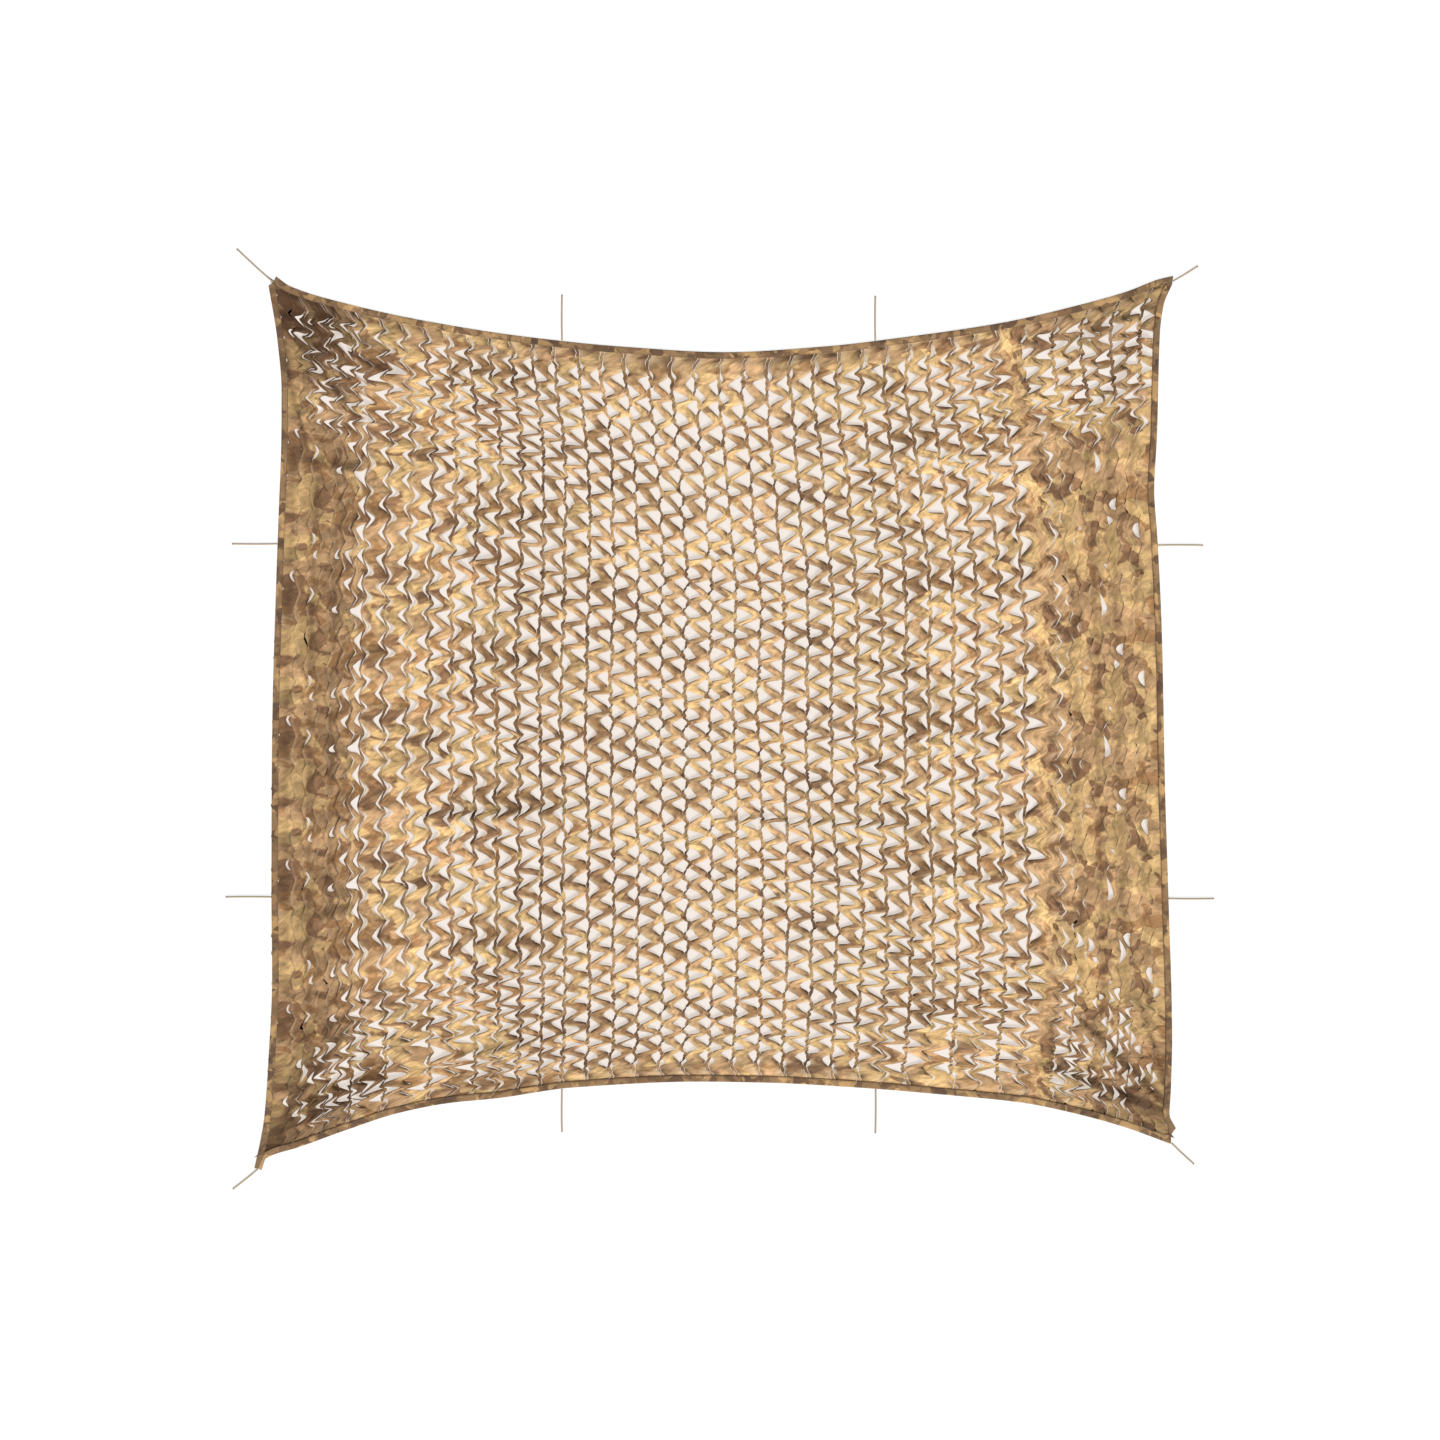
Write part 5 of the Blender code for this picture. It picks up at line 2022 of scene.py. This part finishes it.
    def stitch_tree(self, thread: Material) -> NodeTree:
        """The geometry tree that sets stitches at even steps along a line.

        Args:
            thread: The stitches' material.

        Returns:
            The tree.
        """
        inputs = (
            ("Pitch", "NodeSocketFloat", 0.006),
            ("Length", "NodeSocketFloat", 0.004),
            ("Thread", "NodeSocketFloat", 0.0005),
            ("Seed", "NodeSocketInt", 1),
        )
        tree, nodes, source, result = geometry_tree("stitch_line", inputs)
        out = source.outputs
        line = nodes.add("GeometryNodeMeshToCurve", {0: out["Geometry"]})
        cut_up = {"Curve": line.outputs[0], "Length": out["Pitch"]}
        spots = nodes.add("GeometryNodeResampleCurve", cut_up, mode="LENGTH")
        tangent = nodes.add("GeometryNodeInputTangent").outputs[0]
        turn = nodes.add("FunctionNodeAlignRotationToVector", {"Vector": tangent}, axis="X")
        shape = nodes.add("GeometryNodeMeshUVSphere", {"Segments": 6, "Rings": 4, "Radius": out["Thread"]})
        stretch = nodes.math("DIVIDE", out["Length"], nodes.math("MULTIPLY", out["Thread"], 2.0))
        limits = {2: 0.85, 3: 1.1, "Seed": out["Seed"]}
        uneven = nodes.add("FunctionNodeRandomValue", limits, data_type="FLOAT")
        long = nodes.math("MULTIPLY", stretch, uneven.outputs[1])
        size = nodes.add("ShaderNodeCombineXYZ", {0: long, 1: 1.0, 2: 0.8})
        sockets = {"Points": spots, "Instance": shape, "Rotation": turn, "Scale": size}
        stitch = {name: node.outputs[0] for name, node in sockets.items()}
        laid = nodes.add("GeometryNodeInstanceOnPoints", stitch)
        real = nodes.add("GeometryNodeRealizeInstances", {0: laid.outputs[0]})
        smooth = nodes.add("GeometryNodeSetShadeSmooth", {0: real.outputs[0]})
        dressed = nodes.add("GeometryNodeSetMaterial", {"Geometry": smooth.outputs[0], "Material": thread})
        tree.links.new(dressed.outputs[0], result.inputs[0])
        return tree

    def stitches(self, edge: Edge, tree: NodeTree, seed: int) -> Object:
        """Makes the line of stitches on one binding.

        Args:
            edge: The edge that the binding covers.
            tree: The tree that sets stitches along a line.
            seed: The seed of their unevenness.

        Returns:
            The stitches.
        """
        low, high = (CORNERS[name] for name in EDGE_CORNERS[edge.name])
        shares = np.linspace(low.share_on(edge, self.width), high.share_on(edge, self.width), 300)
        line = edge.inner(shares, self.stitch_inset)
        mesh = bpy.data.meshes.new("stitch_path")
        top = self.thickness + self.stitch_height
        mesh.from_pydata([(x, y, top) for x, y in line], [(k, k + 1) for k in range(len(line) - 1)], [])
        sizes = {"Pitch": self.stitch_pitch, "Length": self.stitch_length, "Thread": self.thread}
        values = {**sizes, "Seed": seed}
        made = grow(f"binding_stitches_{edge.name}", tree, mesh, values)
        return link(bpy.data.objects.new(made.name, made))

    def build(self, finish: Material, thread: Material) -> list[Object]:
        """Makes all four bindings with their stitches.

        Args:
            finish: The strips' material.
            thread: The stitches' material.

        Returns:
            The strips.
        """
        tree = self.stitch_tree(thread)
        strips = []
        for seed, edge in enumerate(EDGES, start=1):
            strip = self.strip(edge, seed, finish)
            sewn = self.stitches(edge, tree, seed)
            for piece in (strip, sewn):
                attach(piece, BODY)
            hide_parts(f"binding_{edge.name}")
            edge.length()
            faces = [len(piece.data.polygons) for piece in (strip, sewn)]
            LOG.info("%s: %d faces, %d in its stitches", strip.name, *faces)
            strips.append(strip)
        return strips


# The tie cords.


@dataclass(frozen=True)
class Tie:
    """A tie cord: where it leaves the binding, where it ends, and how far its middle bows sideways."""

    name: str
    root: Pair
    tip: Pair
    bow: float

    def route(self, points: int, height: float) -> Array:
        """Points along the cord from its root, on a shallow bow.

        Args:
            points: How many.
            height: How high they lie.

        Returns:
            One X, Y and Z for each point.
        """
        root = np.array(self.root)
        run = np.array(self.tip) - root
        aside = np.array((-run[1], run[0])) / np.linalg.norm(run)
        shares = np.linspace(0.0, 1.0, points)
        bows = 4 * self.bow * shares * (1 - shares)
        flat = root + shares[:, None] * run + bows[:, None] * aside
        return np.column_stack((flat, np.full(points, height)))


TIES = (
    Tie("tie_corner_top_left", (-1.4728, 1.4689), (-1.594, 1.58), 0.001),
    Tie("tie_corner_top_right", (1.5263, 1.4726), (1.609, 1.523), -0.001),
    Tie("tie_corner_bottom_left", (-1.525, -1.4875), (-1.607, -1.553), 0.0008),
    Tie("tie_corner_bottom_right", (1.5215, -1.4004), (1.596, -1.47), -0.0008),
    Tie("tie_top_left", (-0.51, 1.2743), (-0.51, 1.427), 0.001),
    Tie("tie_top_right", (0.534, 1.2743), (0.534, 1.423), 0.0008),
    Tie("tie_bottom_left", (-0.51, -1.2204), (-0.51, -1.363), -0.0012),
    Tie("tie_bottom_right", (0.535, -1.2204), (0.534, -1.367), 0.001),
    Tie("tie_left_upper", (-1.4588, 0.597), (-1.61, 0.597), 0.001),
    Tie("tie_left_lower", (-1.4789, -0.58), (-1.631, -0.58), -0.001),
    Tie("tie_right_upper", (1.4761, 0.592), (1.626, 0.592), 0.0012),
    Tie("tie_right_lower", (1.5116, -0.585), (1.663, -0.585), -0.001),
)


@dataclass
class TieCords:
    """Short bare cords, one at each corner and two on each side."""

    diameter: float = 0.006
    sides: int = 16
    points: int = 48
    sealed_length: float = 0.005

    def cord(self, tie: Tie, finish: Material) -> Object:
        """Args:
            tie: Where it runs.
            finish: Its material.

        Returns:
            The cord.
        """
        route = tie.route(self.points, self.diameter / 2)
        steps = np.concatenate(([0.0], np.cumsum(np.linalg.norm(np.diff(route, axis=0), axis=1))))
        length = float(steps[-1])
        tangents = np.gradient(route, axis=0)
        tangents /= np.linalg.norm(tangents, axis=1)[:, None]
        aside = np.cross(tangents, (0, 0, 1.0))
        radius = self.diameter / 2
        angles = np.linspace(0, 2 * math.pi, self.sides, endpoint=False)
        points, places, sealed = [], [], []
        for centre, side, along in zip(route, aside, steps):
            left = length - along
            near_tip = max(0.0, 1 - left / self.sealed_length)
            size = radius * (1 - 0.12 * near_tip)
            for k, angle in enumerate(angles):
                turned = math.cos(angle) * side + math.sin(angle) * np.array((0, 0, 1.0))
                points.append(centre + size * turned)
                places.append((along, k / self.sides))
                sealed.append(near_tip**0.5)
        obj = mesh_object(tie.name + "_cord", np.array(points), tube(self.points, self.sides, -1))
        Bindings.face_outwards(obj.data)
        set_map(obj.data, "cord_wrap", np.array(places))
        set_value(obj.data, "sealed", np.array(sealed))
        obj.data.materials.append(finish)
        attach(obj, BODY)
        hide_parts(tie.name)
        return obj

    def build(self, finish: Material) -> list[Object]:
        """Makes all the cords."""
        return [self.cord(tie, finish) for tie in TIES]


# The studio.


@dataclass
class Studio:
    """A pale floor, soft light and a camera straight above the net."""

    view_width: float = 4.8
    view_centre: Pair = (0.0162, 0.01)
    lens: float = 85.0
    sensor: float = 36.0
    floor_size: float = 16.0
    floor_drop: float = 0.0005
    sky: float = 0.4
    sun: float = 3.1
    sun_softness: float = math.radians(22)
    sun_height: float = math.radians(38)
    sun_turn: float = math.radians(-72)

    def camera(self) -> Object:
        """Makes the camera and makes it the scene's."""
        data = bpy.data.cameras.new("camera")
        data.lens = self.lens
        data.sensor_width = self.sensor
        data.clip_end = 100.0
        camera = link(bpy.data.objects.new("camera", data))
        camera.location = (*self.view_centre, self.view_width * self.lens / self.sensor)
        bpy.context.scene.camera = camera
        return camera

    def floor(self) -> Object:
        """Makes the floor: one face beneath the net, painted with the net's shade, and four round it."""
        half, level = self.floor_size / 2, -self.floor_drop
        lines = [edge.inner(np.linspace(0.02, 0.98, 60), 0.012) for edge in (BOTTOM, RIGHT, TOP, LEFT)]
        lines[2:] = [line[::-1] for line in lines[2:]]
        outline = [(x, y, level) for line in lines for x, y in line]
        corners = [(-half, -half, level), (half, -half, level), (half, half, level), (-half, half, level)]
        count, part = len(outline), len(outline) // 4
        faces = [tuple(range(count))]
        for k in range(4):
            along = [(k * part + j) % count for j in range(part + 1)]
            faces.append((count + k, count + (k + 1) % 4, *reversed(along)))
        floor = mesh_object("floor", np.array(outline + corners), faces)
        floor.data.materials.append(PaleFloor().material())
        # Painted shade: beneath the net the floor is seen darker and warmer, as the net's shadow.
        shaded = PaleFloor("pale_floor_in_shade", seen=(0.3, 0.29, 0.28), glow=(0.625, 0.555, 0.497))
        floor.data.materials.append(shaded.material())
        floor.data.polygons[0].material_index = 1
        return floor

    def light(self) -> None:
        """Makes the even sky and the soft key light from low on the near side."""
        world = bpy.data.worlds.new("soft_sky")
        world.use_nodes = True
        world.node_tree.nodes["Background"].inputs["Color"].default_value = (1.0, 1.0, 1.0, 1.0)
        world.node_tree.nodes["Background"].inputs["Strength"].default_value = self.sky
        bpy.context.scene.world = world
        data = bpy.data.lights.new("key", "SUN")
        data.energy = self.sun
        data.angle = self.sun_softness
        key = link(bpy.data.objects.new("key", data))
        level = math.cos(self.sun_height)
        aside = level * math.cos(self.sun_turn), level * math.sin(self.sun_turn)
        towards = Vector((*aside, math.sin(self.sun_height)))
        key.rotation_euler = towards.to_track_quat("Z", "Y").to_euler()
        key.location = towards * 6
        bpy.context.scene.view_settings.view_transform = "Standard"

    def build(self) -> None:
        """Makes the floor and the lights."""
        self.floor()
        self.light()


def main() -> None:
    """Builds the net in order, piece by piece."""
    logging.basicConfig(level=logging.INFO, format="%(message)s")
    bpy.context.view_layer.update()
    studio = Studio()
    studio.camera()
    groups = ShaderGroups()
    for cord in TieCords().build(BraidedCord().material(groups)):
        LOG.info("%s made", cord.name)
    CutCloth().build(PrintedCloth().material(groups))
    Bindings().build(BindingCloth().material(groups), SewingThread().material())
    studio.build()


if __name__ == "__main__":
    main()
